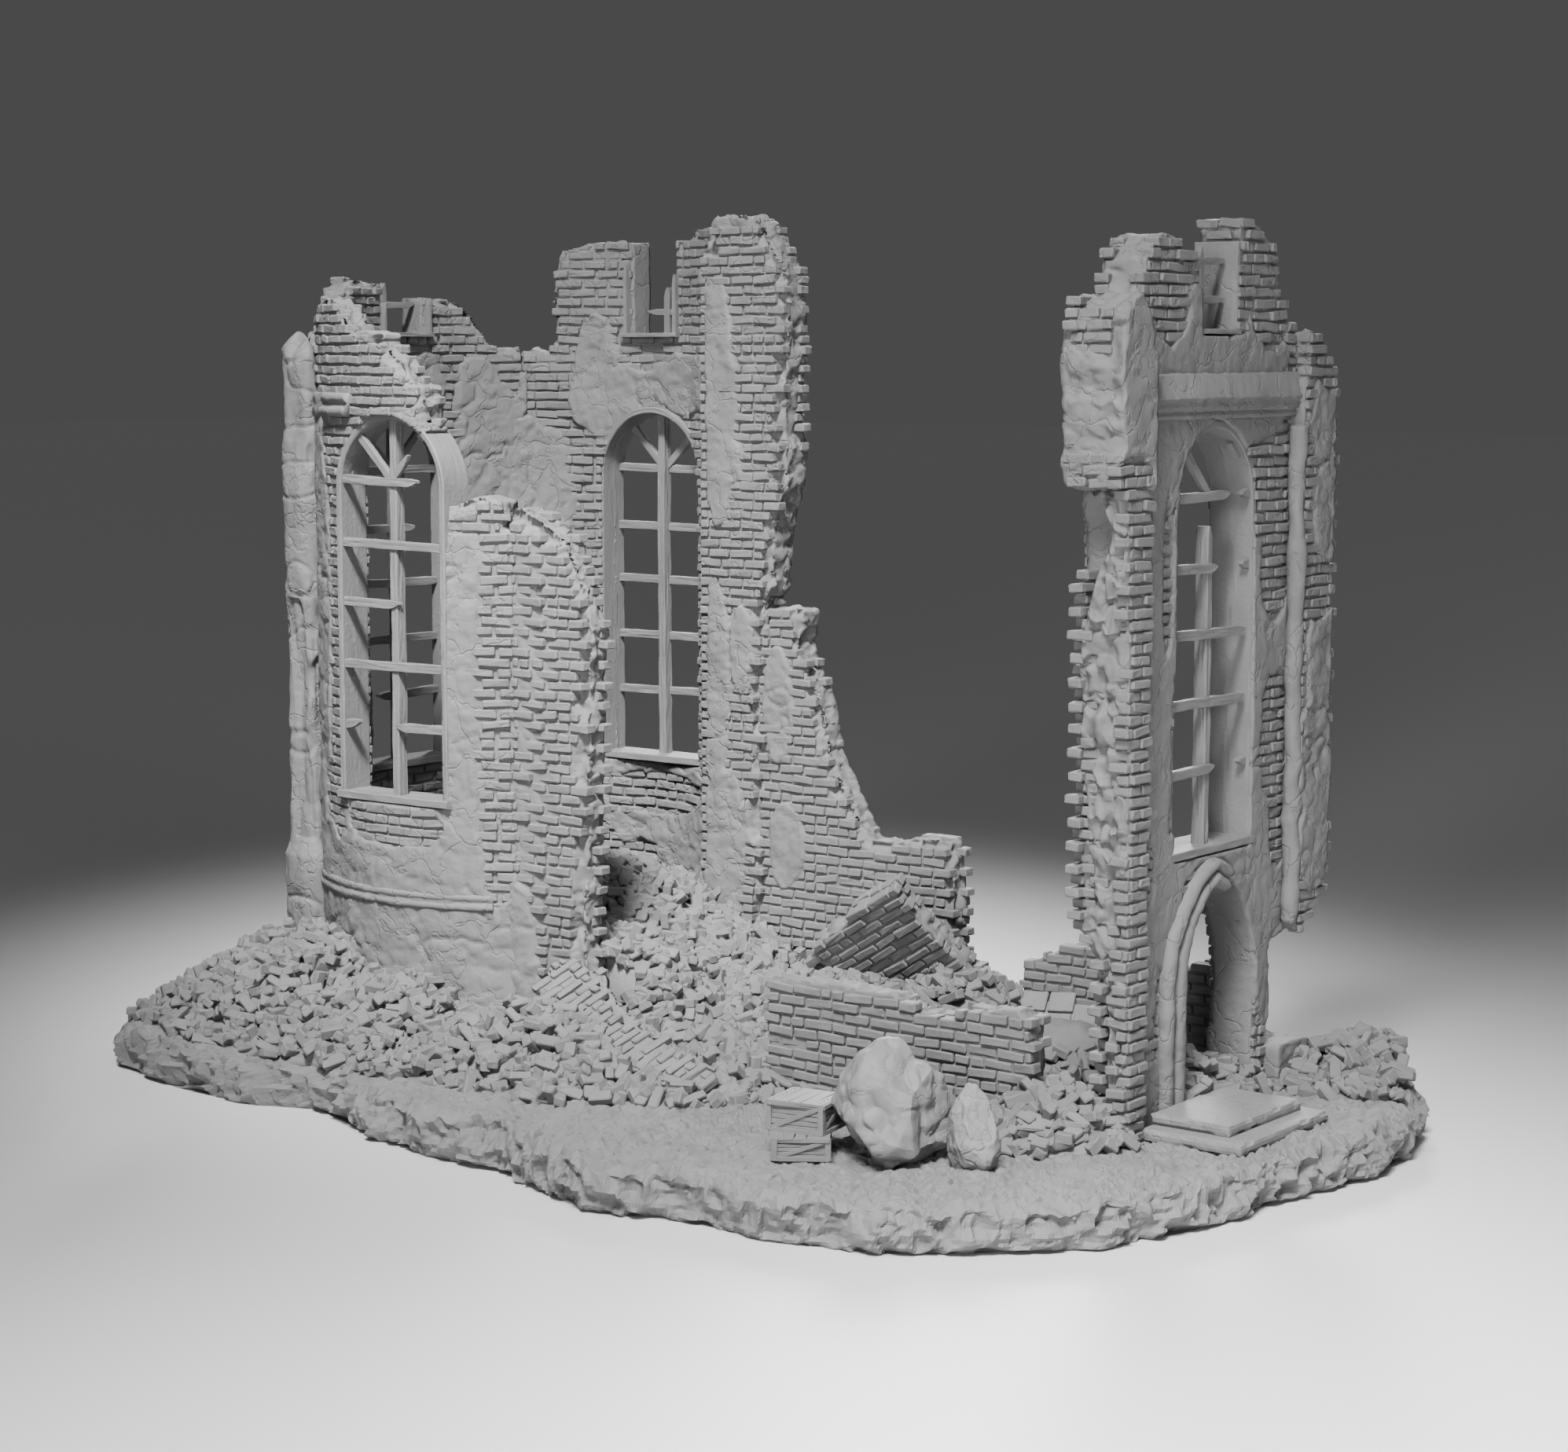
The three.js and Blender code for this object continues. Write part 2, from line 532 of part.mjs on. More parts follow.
// Everything the rubble lies against, each grown by the gap.
function obstacles() {
  const { inner, outer } = NAVE;
  const wallBand = (u0, u1, side) => {
    const [near, far] = side < 0 ? [-outer, -inner] : [inner, outer];
    return block(u0 - GAP, u1 + GAP, near - GAP, far + GAP, -1, 60);
  };
  return [
    wallBand(34.4, 57, -1), wallBand(114, 189.5, -1), wallBand(46, 111.8, 1), wallBand(134, 198, 1),
    block(29 - GAP, 49 + GAP, inner - 2 - GAP, outer + GAP, -1, 60),
    block(FRONT.back - GAP, FRONT.pilaster + GAP, -43, -DOOR.half, -1, 60),
    block(FRONT.back - GAP, FRONT.pilaster + GAP, DOOR.half - GAP, 42, -1, 60),
    fallenWall(SLAB, GAP), fallenWall(FRAGMENT, GAP), floorBody(GAP),
    ...Object.values(PLANKS).map(({ size, turn, at }) => tilted(rectangle(...size), 1, turn, at, GAP)),
  ];
}

function rubble() {
  const apseBody = post(0, 0, [[0, -1], [APSE.outer + GAP, -1], [APSE.outer + GAP, 60], [0, 60]], 52);
  const columns = Object.keys(COLUMN_ANGLES).map((side) => columnAt(side, 2 * GAP));
  const outside = [apseBody, ...columns, ...obstacles()];
  const room = post(0, 0, [[0, 0], [APSE.inner - 0.6, 0], [APSE.inner - 0.6, 60], [0, 60]], 52);
  const nave = block(30, 66, -NAVE.inner + GAP, NAVE.inner - 2.4, 0, 60);
  const split = 66;

  const inside = united([mound([4, 14, 36], [92, 84]), mound([46, -26, 28], [56, 44])]);
  const interior = cut(inside.intersect(room.add(nave)), obstacles());
  const leftHeap = united([mound([-32, -58, 23], [50, 40]), mound([8, -68, 17], [44, 34])]);
  const outdoors = block(-120, 36, -140, -20, 0, 60);
  const rightHeap = united([mound([58, -66, 15], [46, 30]), mound([88, -50, 10], [40, 34])]);
  const heaps = {
    rubble_apse: interior,
    rubble_left: cut(leftHeap.intersect(outdoors), outside),
    rubble_gap: cut(rightHeap.intersect(block(36 + GAP, 130, -110, 0, 0, 60)), [
      ...outside, block(-50, split + GAP, -37, 60, -1, 60), block(split, 140, -36, 60, -1, 60),
    ]),
    rubble_nave: cut(
      united([mound([96, 8, 16], [62, 50]), mound([124, 22, 20], [34, 26])])
        .intersect(block(split + GAP, 146, -36 + GAP, NAVE.inner - GAP, 0, 60)),
      obstacles(),
    ),
    rubble_front_pier: cut(mound([198, -48, 13], [20, 17]), outside),
    rubble_doorway: cut(
      mound([204, 4, 11], [22, 26]).intersect(block(188, FRONT.pilaster, -12.8, 22.6, 0, 60)),
      outside,
    ),
    rubble_right: cut(mound([224, 50, 10], [24, 27]), outside),
    rubble_floor_bed: cut(
      mound([156, 20, 12], [34, 24]).intersect(block(146 + GAP, 180, -12, NAVE.inner - GAP, 0, 60)),
      obstacles(),
    ),
  };
  const yard = GROUND_OUTLINE.map(([u, v]) => [
    BASE_CENTRE.u + YARD * (u - BASE_CENTRE.u), BASE_CENTRE.v + YARD * (v - BASE_CENTRE.v),
  ]);
  const inYard = standing(shapeOf(yard), -1, 80);
  for (const [name, body] of Object.entries(heaps)) {
    piece(name, largest(body.intersect(inYard)), BRICK);
  }
}

// A cut can leave crumbs behind; only the heap itself is kept.
function largest(body) {
  const parts = body.decompose();
  return parts.reduce((best, part) => (part.volume() > best.volume() ? part : best));
}

// ---------------------------------------------------------------- base

function groundBody() {
  const settings = {
    depth: BASE_HEIGHT - 2 * RIM,
    bevelThickness: RIM,
    bevelSize: RIM,
    bevelOffset: -RIM,
    bevelSegments: 2,
  };
  const slab = new THREE.ExtrudeGeometry(shapeOf(GROUND_OUTLINE), settings);
  return solid(slab.translate(0, 0, RIM - BASE_HEIGHT));
}

function base() {
  const low = -TENON - GAP;
  const hole = (u0, u1, v0, v1) => block(u0 - GAP, u1 + GAP, v0 - GAP, v1 + GAP, low, 2);
  const { inner, outer } = NAVE;
  const { back, wall, pilaster, recess } = FRONT;
  const sockets = [
    ring(APSE.inner - GAP, APSE.outer + GAP, APSE.opening - 0.5, 360.5 - APSE.opening, low, 2),
    ...Object.keys(COLUMN_ANGLES).map((side) => columnAt(side, GAP)),
    hole(34.4, 57, -outer, -inner),
    hole(29, 49, inner - 2, outer),
    hole(49.3, 111.8, inner, outer),
    hole(114, 189.5, -outer, -inner),
    hole(134, 197.7, inner, outer),
    hole(back, wall, -recess, -DOOR.half),
    hole(back, wall, DOOR.half, 28),
    hole(back + 9, pilaster, -42.5, -recess),
    hole(back + 2, pilaster - 0.5, 28.3, 41.5),
  ];
  piece("base", cut(groundBody(), [united(sockets)]), EARTH);
}

apse();
naveWalls();
facade();
steps();
scatter();
rubble();
base();

const chapel = new THREE.Group();
chapel.name = "chapel_ruin";
chapel.position.set(-BASE_CENTRE.u, -BASE_CENTRE.v, BASE_HEIGHT);
for (const [name, { body, material }] of pieces) {
  const mesh = new THREE.Mesh(geometryOf(body), material);
  mesh.name = name;
  chapel.add(mesh);
}

const model = new THREE.Group();
model.add(chapel);

export default model;
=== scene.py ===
"""The looks of a ruined chapel terrain piece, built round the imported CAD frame.

Sizes are millimetres in the chapel's own frame until a mesh is made: u runs along the nave from
the centre of the round apse to the door wall, v across it, and w is the height above the ground.
"""
import itertools
import math

import bpy
import numpy as np
from mathutils import Matrix, Vector
from mathutils.bvhtree import BVHTree


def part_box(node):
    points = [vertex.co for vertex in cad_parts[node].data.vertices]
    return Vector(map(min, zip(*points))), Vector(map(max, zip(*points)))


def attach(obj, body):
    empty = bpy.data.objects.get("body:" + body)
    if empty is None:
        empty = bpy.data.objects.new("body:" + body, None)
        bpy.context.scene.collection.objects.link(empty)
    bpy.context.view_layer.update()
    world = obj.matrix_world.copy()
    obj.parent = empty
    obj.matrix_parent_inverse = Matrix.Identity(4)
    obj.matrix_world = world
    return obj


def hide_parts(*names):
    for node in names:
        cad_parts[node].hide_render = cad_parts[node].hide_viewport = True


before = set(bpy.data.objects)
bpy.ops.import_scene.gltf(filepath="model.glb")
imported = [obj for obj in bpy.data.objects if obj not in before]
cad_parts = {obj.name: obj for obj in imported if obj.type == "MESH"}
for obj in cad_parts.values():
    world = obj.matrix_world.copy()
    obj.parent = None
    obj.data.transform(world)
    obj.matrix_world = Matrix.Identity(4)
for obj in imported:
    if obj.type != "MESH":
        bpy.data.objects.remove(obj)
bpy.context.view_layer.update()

# ------------------------------------------------------------------ dimensions

MM = 0.001
ORIGIN = np.array([-82.5, 20.5, 11.0])  # the chapel frame's origin in the row frame

APSE_OUTER, APSE_INNER = 59.0, 50.0
APSE_MIDDLE = (APSE_OUTER + APSE_INNER) / 2
NAVE_OUTER, NAVE_INNER = 45.5, 36.5
DOOR_WALL_BACK, DOOR_WALL_FACE, PILASTER_FACE = 198.0, 210.5, 214.8
WINDOW_HALF, WINDOW_SILL, WINDOW_APEX, WINDOW_BOARD = 19.3, 61.1, 162.0, 1.8
WINDOW_FACE, WINDOW_DEPTH = 57.0, 9.5
BAR_HEIGHTS = (80.8, 96.6, 112.6, 127.9, 144.4)
SMALL_HALF, SMALL_SILL, SMALL_BOARD = 9.6, 181.6, 1.2
DOOR_HALF, DOOR_APEX, DOOR_INNER, DOOR_INNER_APEX = 23.3, 60.5, 13.2, 53.5

COURSE = 2.64
BRICK_LENGTH, BRICK_DEPTH, JOINT = 7.3, 3.7, 0.55
STEP = 0.6  # lattice spacing of the wall surfaces
MORTAR = -0.85  # mortar bed, measured from the brick faces
PLASTER = 0.4  # plaster surface, measured from the brick faces
GRAIN = 0.13  # depth of the furrows in timber
BOARD_STEP, ARCH_STEP, POINTED_STEP, BLOCK_STEP = 1.3, 1.2, 0.9, 0.9  # how finely each is divided
FAR = 400.0  # where a ray starts, well clear of the part
UNDERSIDE = -11.0

# ------------------------------------------------------------------ noise


def lattice_value(ix, iy, iz, seed):
    """A repeatable value from -1 to 1 for each whole-number point."""
    mask = 0xFFFFFFFF
    mixed = (ix * 374761393 + iy * 668265263 + iz * 1440662683 + seed * 1274126177) & mask
    mixed = ((mixed ^ (mixed >> 13)) * 1274126177) & mask
    mixed = ((mixed ^ (mixed >> 15)) * 668265263) & mask
    return (mixed ^ (mixed >> 16)) / mask * 2.0 - 1.0


def noise(points, size, seed):
    """Smooth value noise from -1 to 1 with features about size across."""
    grid = np.asarray(points, float) / size
    cell = np.floor(grid).astype(np.int64)
    part = grid - cell
    part = part * part * (3 - 2 * part)
    total = np.zeros(grid.shape[:-1])
    for corner in itertools.product((0, 1), repeat=3):
        weight = np.ones_like(total)
        for axis, side in enumerate(corner):
            weight = weight * (part[..., axis] if side else 1 - part[..., axis])
        near = [cell[..., axis] + side for axis, side in enumerate(corner)]
        total += weight * lattice_value(*near, seed)
    return total


def fractal(points, size, seed, octaves=3):
    """Noise summed over octaves, each half the size and half the weight of the last."""
    total = 0.0
    for octave in range(octaves):
        total = total + 0.5**octave * noise(points, size / 2**octave, seed + 17 * octave)
    return total


def smoothstep(low, high, x):
    """A soft step from 0 at low to 1 at high."""
    t = np.clip((x - low) / (high - low), 0, 1)
    return t * t * (3 - 2 * t)


# ------------------------------------------------------------------ meshes


class Crisp(np.ndarray):
    """Faces that are shaded flat."""


def make_object(name, vertices, faces, slot, replaced, smooth=True):
    """A piece made of points in millimetres and face arrays, in place of some CAD nodes."""
    mesh = bpy.data.meshes.new(name)
    placed = (np.asarray(vertices, float) + ORIGIN) * MM
    soft = [smooth and not isinstance(group, Crisp) for group in faces if len(group)]
    faces = [np.asarray(group) for group in faces if len(group)]
    loops = np.concatenate([group.ravel() for group in faces]).astype(np.int32)
    totals = np.concatenate([np.full(len(group), group.shape[1]) for group in faces])
    smoothed = np.concatenate([np.full(len(group), flag) for group, flag in zip(faces, soft)])
    starts = np.concatenate([[0], np.cumsum(totals)[:-1]])
    mesh.vertices.add(len(placed))
    mesh.vertices.foreach_set("co", placed.ravel().astype(np.float32))
    mesh.loops.add(len(loops))
    mesh.loops.foreach_set("vertex_index", loops)
    mesh.polygons.add(len(totals))
    mesh.polygons.foreach_set("loop_start", starts.astype(np.int32))
    mesh.polygons.foreach_set("loop_total", totals.astype(np.int32))
    mesh.polygons.foreach_set("use_smooth", smoothed)
    mesh.update(calc_edges=True)
    mesh.validate()
    piece = bpy.data.objects.new(name, mesh)
    bpy.context.scene.collection.objects.link(piece)
    mesh.materials.append(MATERIALS[slot])
    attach(piece, "root")
    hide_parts(*replaced)


def joined(parts):
    """Several (points, face arrays) parts as one."""
    points, faces, count = [], [], 0
    for part_points, part_faces in parts:
        points.append(part_points)
        faces += [group + count for group in part_faces if len(group)]
        count += len(part_points)
    return np.concatenate(points), faces


def chamfered_template():
    """Corner signs, which axis each vertex reaches fully, and the faces of a chamfered block."""
    corners = list(itertools.product((-1, 1), repeat=3))
    index = {(corner, axis): 3 * i + axis for i, corner in enumerate(corners) for axis in range(3)}
    signs = np.repeat(np.array(corners, float), 3, axis=0)
    full = np.tile(np.eye(3, dtype=bool), (8, 1))
    quads, triangles = [], []

    def outward(ids, group):
        pts = signs[ids] * np.where(full[ids], 1.0, 0.8)
        normal = np.cross(pts[1] - pts[0], pts[2] - pts[0])
        group.append(ids if normal @ pts.mean(0) > 0 else ids[::-1])

    for axis in range(3):
        a, b = [k for k in range(3) if k != axis]
        for sign in (-1, 1):
            ring = []
            for sa, sb in ((-1, -1), (1, -1), (1, 1), (-1, 1)):
                corner = [0, 0, 0]
                corner[axis], corner[a], corner[b] = sign, sa, sb
                ring.append(index[tuple(corner), axis])
            outward(ring, quads)
        for sa, sb in itertools.product((-1, 1), repeat=2):
            low, high = [0, 0, 0], [0, 0, 0]
            low[axis], low[a], low[b] = -1, sa, sb
            high[axis], high[a], high[b] = 1, sa, sb
            low, high = tuple(low), tuple(high)
            outward([index[low, a], index[low, b], index[high, b], index[high, a]], quads)
    for corner in corners:
        outward([index[corner, axis] for axis in range(3)], triangles)
    return signs, full, np.array(quads), np.array(triangles)


BLOCK_SIGNS, BLOCK_FULL, BLOCK_QUADS, BLOCK_TRIANGLES = chamfered_template()


def blocks(centres, axes, halves, rng, chamfer=0.3, wear=0.07):
    """Many worn bricks: axes holds each one's three directions as rows, halves its half sizes."""
    count = len(centres)
    inset = np.where(BLOCK_FULL[None], 0.0, chamfer)
    local = BLOCK_SIGNS[None] * np.maximum(halves[:, None, :] - inset, 0.05)
    local = local + rng.normal(0, wear, local.shape)
    skew = rng.normal(0, 0.03, (count, 1, 3))
    local[..., 0] += skew[..., 0] * local[..., 1]
    local[..., 1] += skew[..., 1] * local[..., 0]
    points = centres[:, None, :] + np.einsum("nki,nij->nkj", local, axes)
    shift = (np.arange(count) * len(BLOCK_SIGNS))[:, None, None]
    quads = (BLOCK_QUADS[None] + shift).reshape(-1, 4).view(Crisp)
    triangles = (BLOCK_TRIANGLES[None] + shift).reshape(-1, 3).view(Crisp)
    return points.reshape(-1, 3), [quads, triangles]


def turned(axes, rng, amount):
    """Each brick's axes, turned a little at random."""
    tilt = rng.normal(0, amount, (len(axes), 3))
    first = axes[:, 0] + tilt[:, :1] * axes[:, 1] + tilt[:, 1:2] * axes[:, 2]
    second = axes[:, 1] + tilt[:, 2:] * axes[:, 2]
    return orthogonal(first, second)


def orthogonal(first, second):
    """Three square directions for each brick from its first and about its second."""
    first = first / np.linalg.norm(first, axis=1, keepdims=True)
    third = np.cross(first, second)
    third = third / np.linalg.norm(third, axis=1, keepdims=True)
    return np.stack([first, np.cross(third, first), third], axis=1)


# ------------------------------------------------------------------ charts of the wall faces


class Flat:
    """A flat wall: s runs along it, w up it, and t out of its outer face."""

    def __init__(self, origin, along, up=(0, 0, 1)):
        self.origin = np.array(origin, float)
        self.along = np.array(along, float) / np.linalg.norm(along)
        self.up = np.array(up, float) / np.linalg.norm(up)
        self.out = np.cross(self.along, self.up)

    def at(self, s, w, t):
        s, w, t = (np.asarray(x, float)[..., None] for x in (s, w, t))
        return self.origin + s * self.along + w * self.up + t * self.out

    def axes(self, s):
        return np.tile(np.stack([self.along, self.up, self.out]), (len(s), 1, 1))


class Swelling(Flat):
    """A flat wall whose outer face swells towards its start, to meet the round wall beside it."""

    def __init__(self, origin, along, thickness, swell, s_from, s_to):
        super().__init__(origin, along)
        self.thickness, self.swell, self.s_from, self.s_to = thickness, swell, s_from, s_to

    def at(self, s, w, t):
        share = np.clip((t + self.thickness) / self.thickness, 0, 1)
        return super().at(s, w, t + self.swell * (1 - smoothstep(self.s_from, self.s_to, s)) * share)


class Round:
    """The apse wall: s is the arc at mid thickness, and t is out of the outer face."""

    centres = np.radians([-90.0, 90.0, 180.0, -180.0])

    def angle(self, s, t):
        """The angle round the apse of a place on the unrolled wall."""
        angle = np.asarray(s, float) / APSE_MIDDLE
        offsets = angle[..., None] - self.centres
        pick = np.abs(offsets).argmin(-1)
        local = np.take_along_axis(offsets, pick[..., None], -1)[..., 0]
        width = APSE_MIDDLE * np.sin(np.clip(local, -1.2, 1.2))
        square = np.arcsin(np.clip(width / (APSE_OUTER + t), -1, 1))
        blend = 1 - smoothstep(math.radians(24), math.radians(44), np.abs(local))
        return angle + blend * (square - local)

    def at(self, s, w, t):
        s, w, t = np.broadcast_arrays(*(np.asarray(x, float) for x in (s, w, t)))
        angle = self.angle(s, t)
        radius = APSE_OUTER + t
        return np.stack([radius * np.cos(angle), radius * np.sin(angle), w], axis=-1)

    def axes(self, s):
        angle = np.asarray(s) / APSE_MIDDLE
        zero = np.zeros_like(angle)
        along = np.stack([-np.sin(angle), np.cos(angle), zero], axis=-1)
        up = np.stack([zero, zero, zero + 1], axis=-1)
        out = np.stack([np.cos(angle), np.sin(angle), zero], axis=-1)
        return np.stack([along, up, out], axis=1)


class Ground:
    """The ground plane: s is u, w is v, and t is the height."""

    def at(self, s, w, t):
        return np.stack(np.broadcast_arrays(*(np.asarray(x, float) for x in (s, w, t))), axis=-1)


# ------------------------------------------------------------------ reading the frame


def tree_of(*nodes):
    """The CAD nodes' surfaces, in the chapel's frame, ready for ray casts."""
    corners, polygons = [], []
    for node in nodes:
        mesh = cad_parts[node].data
        polygons += [tuple(k + len(corners) for k in p.vertices) for p in mesh.polygons]
        corners += [(np.array(v.co) / MM - ORIGIN) for v in mesh.vertices]
    return BVHTree.FromPolygons(corners, polygons)


def inside(tree, points, direction):
    """Which points are inside the closed solid, found by where a ray leaves it."""
    flags = np.zeros(len(points), bool)
    ray = Vector(direction)
    for i, point in enumerate(points):
        _, normal, _, _ = tree.ray_cast(Vector(point), ray)
        flags[i] = normal is not None and normal.dot(ray) > 0
    return flags


def drop_heights(tree, points):
    """The height of the solid's top under each (u, v) point, or nan beside it."""
    heights = np.full(len(points), np.nan)
    down = Vector((0, 0, -1))
    for i, (u, v) in enumerate(points):
        place, _, _, _ = tree.ray_cast(Vector((u, v, FAR)), down)
        if place is not None:
            heights[i] = place.z
    return heights


def box_of(node):
    """The two corners of a CAD node's box, in the chapel's frame."""
    low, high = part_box(node)
    return np.array(low) / MM - ORIGIN, np.array(high) / MM - ORIGIN


# ------------------------------------------------------------------ masonry


class Wall:
    """A wall's lattice, cut out of its CAD node, with its plaster and its broken edges."""

    def __init__(self, node, chart, thickness, s_range, w_range, seed, relief=1.0):
        self.node, self.chart, self.thickness, self.seed = node, chart, thickness, seed
        self.step = STEP
        self.relief = relief
        self.s = np.arange(s_range[0], s_range[1] + STEP, STEP)
        self.w = np.arange(w_range[0], w_range[1] + STEP, STEP)
        middle_s, middle_w = self.s[:-1] + STEP / 2, self.w[:-1] + STEP / 2
        self.cell_s, self.cell_w = np.meshgrid(middle_s, middle_w, indexing="ij")
        points = chart.at(self.cell_s.ravel(), self.cell_w.ravel(), -thickness / 2)
        self.solid = inside(tree_of(node), points, (0.02, 0.013, 1.0)).reshape(self.cell_s.shape)
        self.clean = np.zeros_like(self.solid)
        self.grid_s, self.grid_w = np.meshgrid(self.s, self.w, indexing="ij")

    def depth_inside(self, mask, reach=10):
        """How far each cell is from the mask's edge, up to reach steps."""
        depth = np.zeros(mask.shape)
        current = mask.copy()
        for turn in range(reach):
            depth += current * self.step
            padded = np.pad(current, 1, mode="edge")
            shrunk = padded[:-2, 1:-1] & padded[2:, 1:-1] & padded[1:-1, :-2] & padded[1:-1, 2:]
            if turn % 2:
                shrunk = shrunk & padded[:-2, :-2] & padded[2:, 2:] & padded[:-2, 2:] & padded[2:, :-2]
            current = current & shrunk
        return depth

    def close_joints(self):
        """Carries the wall a little past its dressed ends, into its neighbour."""
        for _ in range(3):
            padded = np.pad(self.solid, 1, constant_values=False)
            self.solid |= self.clean & (padded[:-2, 1:-1] | padded[2:, 1:-1])

    def peeled(self, width, side):
        """Cells near a broken edge where one leaf of bricks has come away."""
        if not width:
            return np.zeros_like(self.solid)
        depth = self.depth_inside(self.solid | self.clean)
        points = np.stack([self.cell_s, self.cell_w, np.full_like(self.cell_s, self.seed + 50.0 * side)], -1)
        return self.solid & (depth < width * (1 + 0.8 * noise(points, 6, self.seed + 60 + side)))

    def bed_cells(self, bite):
        """The mortar bed's cells: it stops short of the broken edges, and fills the clean ones."""
        open_side = self.solid | self.clean
        depth = self.depth_inside(open_side)
        points = np.stack([self.cell_s, self.cell_w, np.full_like(self.cell_s, self.seed)], -1)
        rough = bite * (1 + noise(points, 4.2, self.seed) + 0.5 * noise(points, 1.7, self.seed + 5))
        return self.solid & (depth > rough)

    def plaster(self, patches, bare, bias, side):
        """Where plaster is left, from 0 to 1: ellipses (s, w, half s, half w) set it or strip it."""
        seed = self.seed + 100 * side
        points = np.stack([self.grid_s, self.grid_w, np.full_like(self.grid_s, seed * 3.0)], -1)
        field = bias + 0.8 * noise(points, 24, seed)
        for s, w, half_s, half_w in patches:
            reach = np.hypot((self.grid_s - s) / half_s, (self.grid_w - w) / half_w)
            field = np.maximum(field, 1 - reach)
        for s, w, half_s, half_w in bare:
            reach = np.hypot((self.grid_s - s) / half_s, (self.grid_w - w) / half_w)
            field = np.minimum(field, reach - 1)
        field = field + 0.13 * noise(points, 6, seed + 1) + 0.06 * noise(points, 2.4, seed + 2)
        return smoothstep(-0.035, 0.035, field)

    def surface(self, coat, side, bare):
        """Offsets from a brick face: mortar, cracked plaster, or the core where bricks are gone."""
        seed = self.seed + 100 * side
        points = np.stack([self.grid_s, self.grid_w, np.full_like(self.grid_s, seed * 3.0)], -1)
        vein = np.abs(noise(points, 11, seed + 3) + 0.35 * noise(points, 3.5, seed + 13))
        fine = np.abs(noise(points, 5.5, seed + 4) + 0.3 * noise(points, 1.9, seed + 14))
        broken = smoothstep(-0.25, 0.3, noise(points, 17, seed + 5))
        crack = (1 - smoothstep(0.0, 0.08, vein)) * broken
        swell = 0.34 * fractal(points, 10, seed + 6) + 0.16 * noise(points, 1.4, seed + 7)
        crease = 0.9 * np.minimum(vein, 0.5) + 0.8 * np.minimum(fine, 0.4)
        skin = PLASTER + self.relief * (swell + crease - 0.6 * crack - 0.45)
        mortar = MORTAR + 0.2 * noise(points, 1.7, seed + 8) + 0.15 * noise(points, 5, seed + 9)
        face = mortar * (1 - coat) + skin * coat
        core = -2.9 + 0.8 * fractal(points, 4, seed + 10) + 0.35 * noise(points, 1.5, seed + 12)
        gone = self.sample(bare.astype(float), self.grid_s, self.grid_w)
        beside = self.sample(bare.astype(float), self.grid_s - self.step, self.grid_w - self.step)
        gone = 0.5 * gone + 0.5 * beside
        return face * (1 - gone) + core * gone

    def sample(self, field, s, w):
        """A field's value at the lattice place nearest to each (s, w)."""
        i = np.clip(np.round((s - self.s[0]) / self.step).astype(int), 0, field.shape[0] - 1)
        j = np.clip(np.round((w - self.w[0]) / self.step).astype(int), 0, field.shape[1] - 1)
        return field[i, j]

    def bricks(self, side, coat, depth, overhang, bare):
        """The bricks of one leaf, course by course, with toothed ends where the wall is broken."""
        rng = np.random.default_rng(self.seed + 31 * side + 7)
        pitch = BRICK_LENGTH + JOINT
        found = []
        first, last = int(self.w[0] // COURSE), int(self.w[-1] // COURSE)
        for course in range(first, last + 1):
            height = (course + 0.5) * COURSE
            row = int((height - self.w[0]) / self.step)
            if not 0 <= row < self.solid.shape[1]:
                continue
            filled, clean = self.solid[:, row] & ~bare[:, row], self.clean[:, row]
            if not filled.any():
                continue
            proud = (1.8 if course % 2 else 0.1) + rng.uniform(-0.4, 0.7)
            for low, high in self.course_spans(course, pitch, rng):
                span = self.clip_to_wall(low, high, filled, clean, overhang, proud)
                if span:
                    found.append((*span, height))
        if not found:
            return np.zeros((0, 3)), []
        spans = np.array(found)
        s, w, half = spans[:, :2].mean(1), spans[:, 2], (spans[:, 1] - spans[:, 0]) / 2
        cover = np.min([self.sample(coat, s + k * half, w) for k in (-0.8, 0, 0.8)], axis=0)
        keep = cover < 0.75
        s, w, half = s[keep], w[keep], half[keep]
        t_mid = -depth / 2 if side == 0 else -self.thickness + depth / 2
        t = t_mid + rng.normal(0, 0.22, len(s))
        if isinstance(self.chart, Round):
            half = half * (APSE_OUTER + t_mid) / APSE_MIDDLE
        w = w + rng.normal(0, 0.05, len(w))
        centres = self.chart.at(s, w, t)
        axes = turned(self.chart.axes(s), rng, 0.02)
        height = (COURSE - JOINT) / 2 + rng.normal(0, 0.05, len(s))
        halves = np.stack([half - JOINT / 2, height, np.full(len(s), depth / 2)], axis=1)
        return blocks(centres, axes, halves, rng)

    def course_spans(self, course, pitch, rng):
        """The joints of one course: half-bond, with a header here and there."""
        first = math.floor(self.s[0] / pitch) - 1
        count = math.ceil((self.s[-1] - self.s[0]) / pitch) + 3
        starts = (first + np.arange(count) + 0.5 * (course % 2)) * pitch
        starts = starts + rng.uniform(-0.6, 0.6, count)
        for low, high in zip(starts[:-1], starts[1:]):
            if rng.random() < 0.16:
                middle = (low + high) / 2 + rng.uniform(-0.3, 0.3)
                yield low, middle
                yield middle, high
            else:
                yield low, high

    def clip_to_wall(self, low, high, filled, clean, overhang, proud):
        """A brick's span, cut flush at a dressed edge, and left a little proud at a broken one."""
        i = max(0, int((low - self.s[0]) / self.step))
        j = min(len(filled), int((high - self.s[0]) / self.step) + 1)
        if j - i < 2:
            return None
        part = filled[i:j]
        if part.mean() < 0.12:
            return None
        held = np.flatnonzero(part)
        dressed = (clean[i:j] & ~part).any()
        proud = 0.0 if dressed else proud
        low = max(low, self.s[i + held[0]] - proud)
        high = min(high, self.s[i + held[-1] + 1] + proud)
        if not dressed and part.mean() < overhang * 0.6:
            return None
        return (low, high) if high - low > 1.5 else None

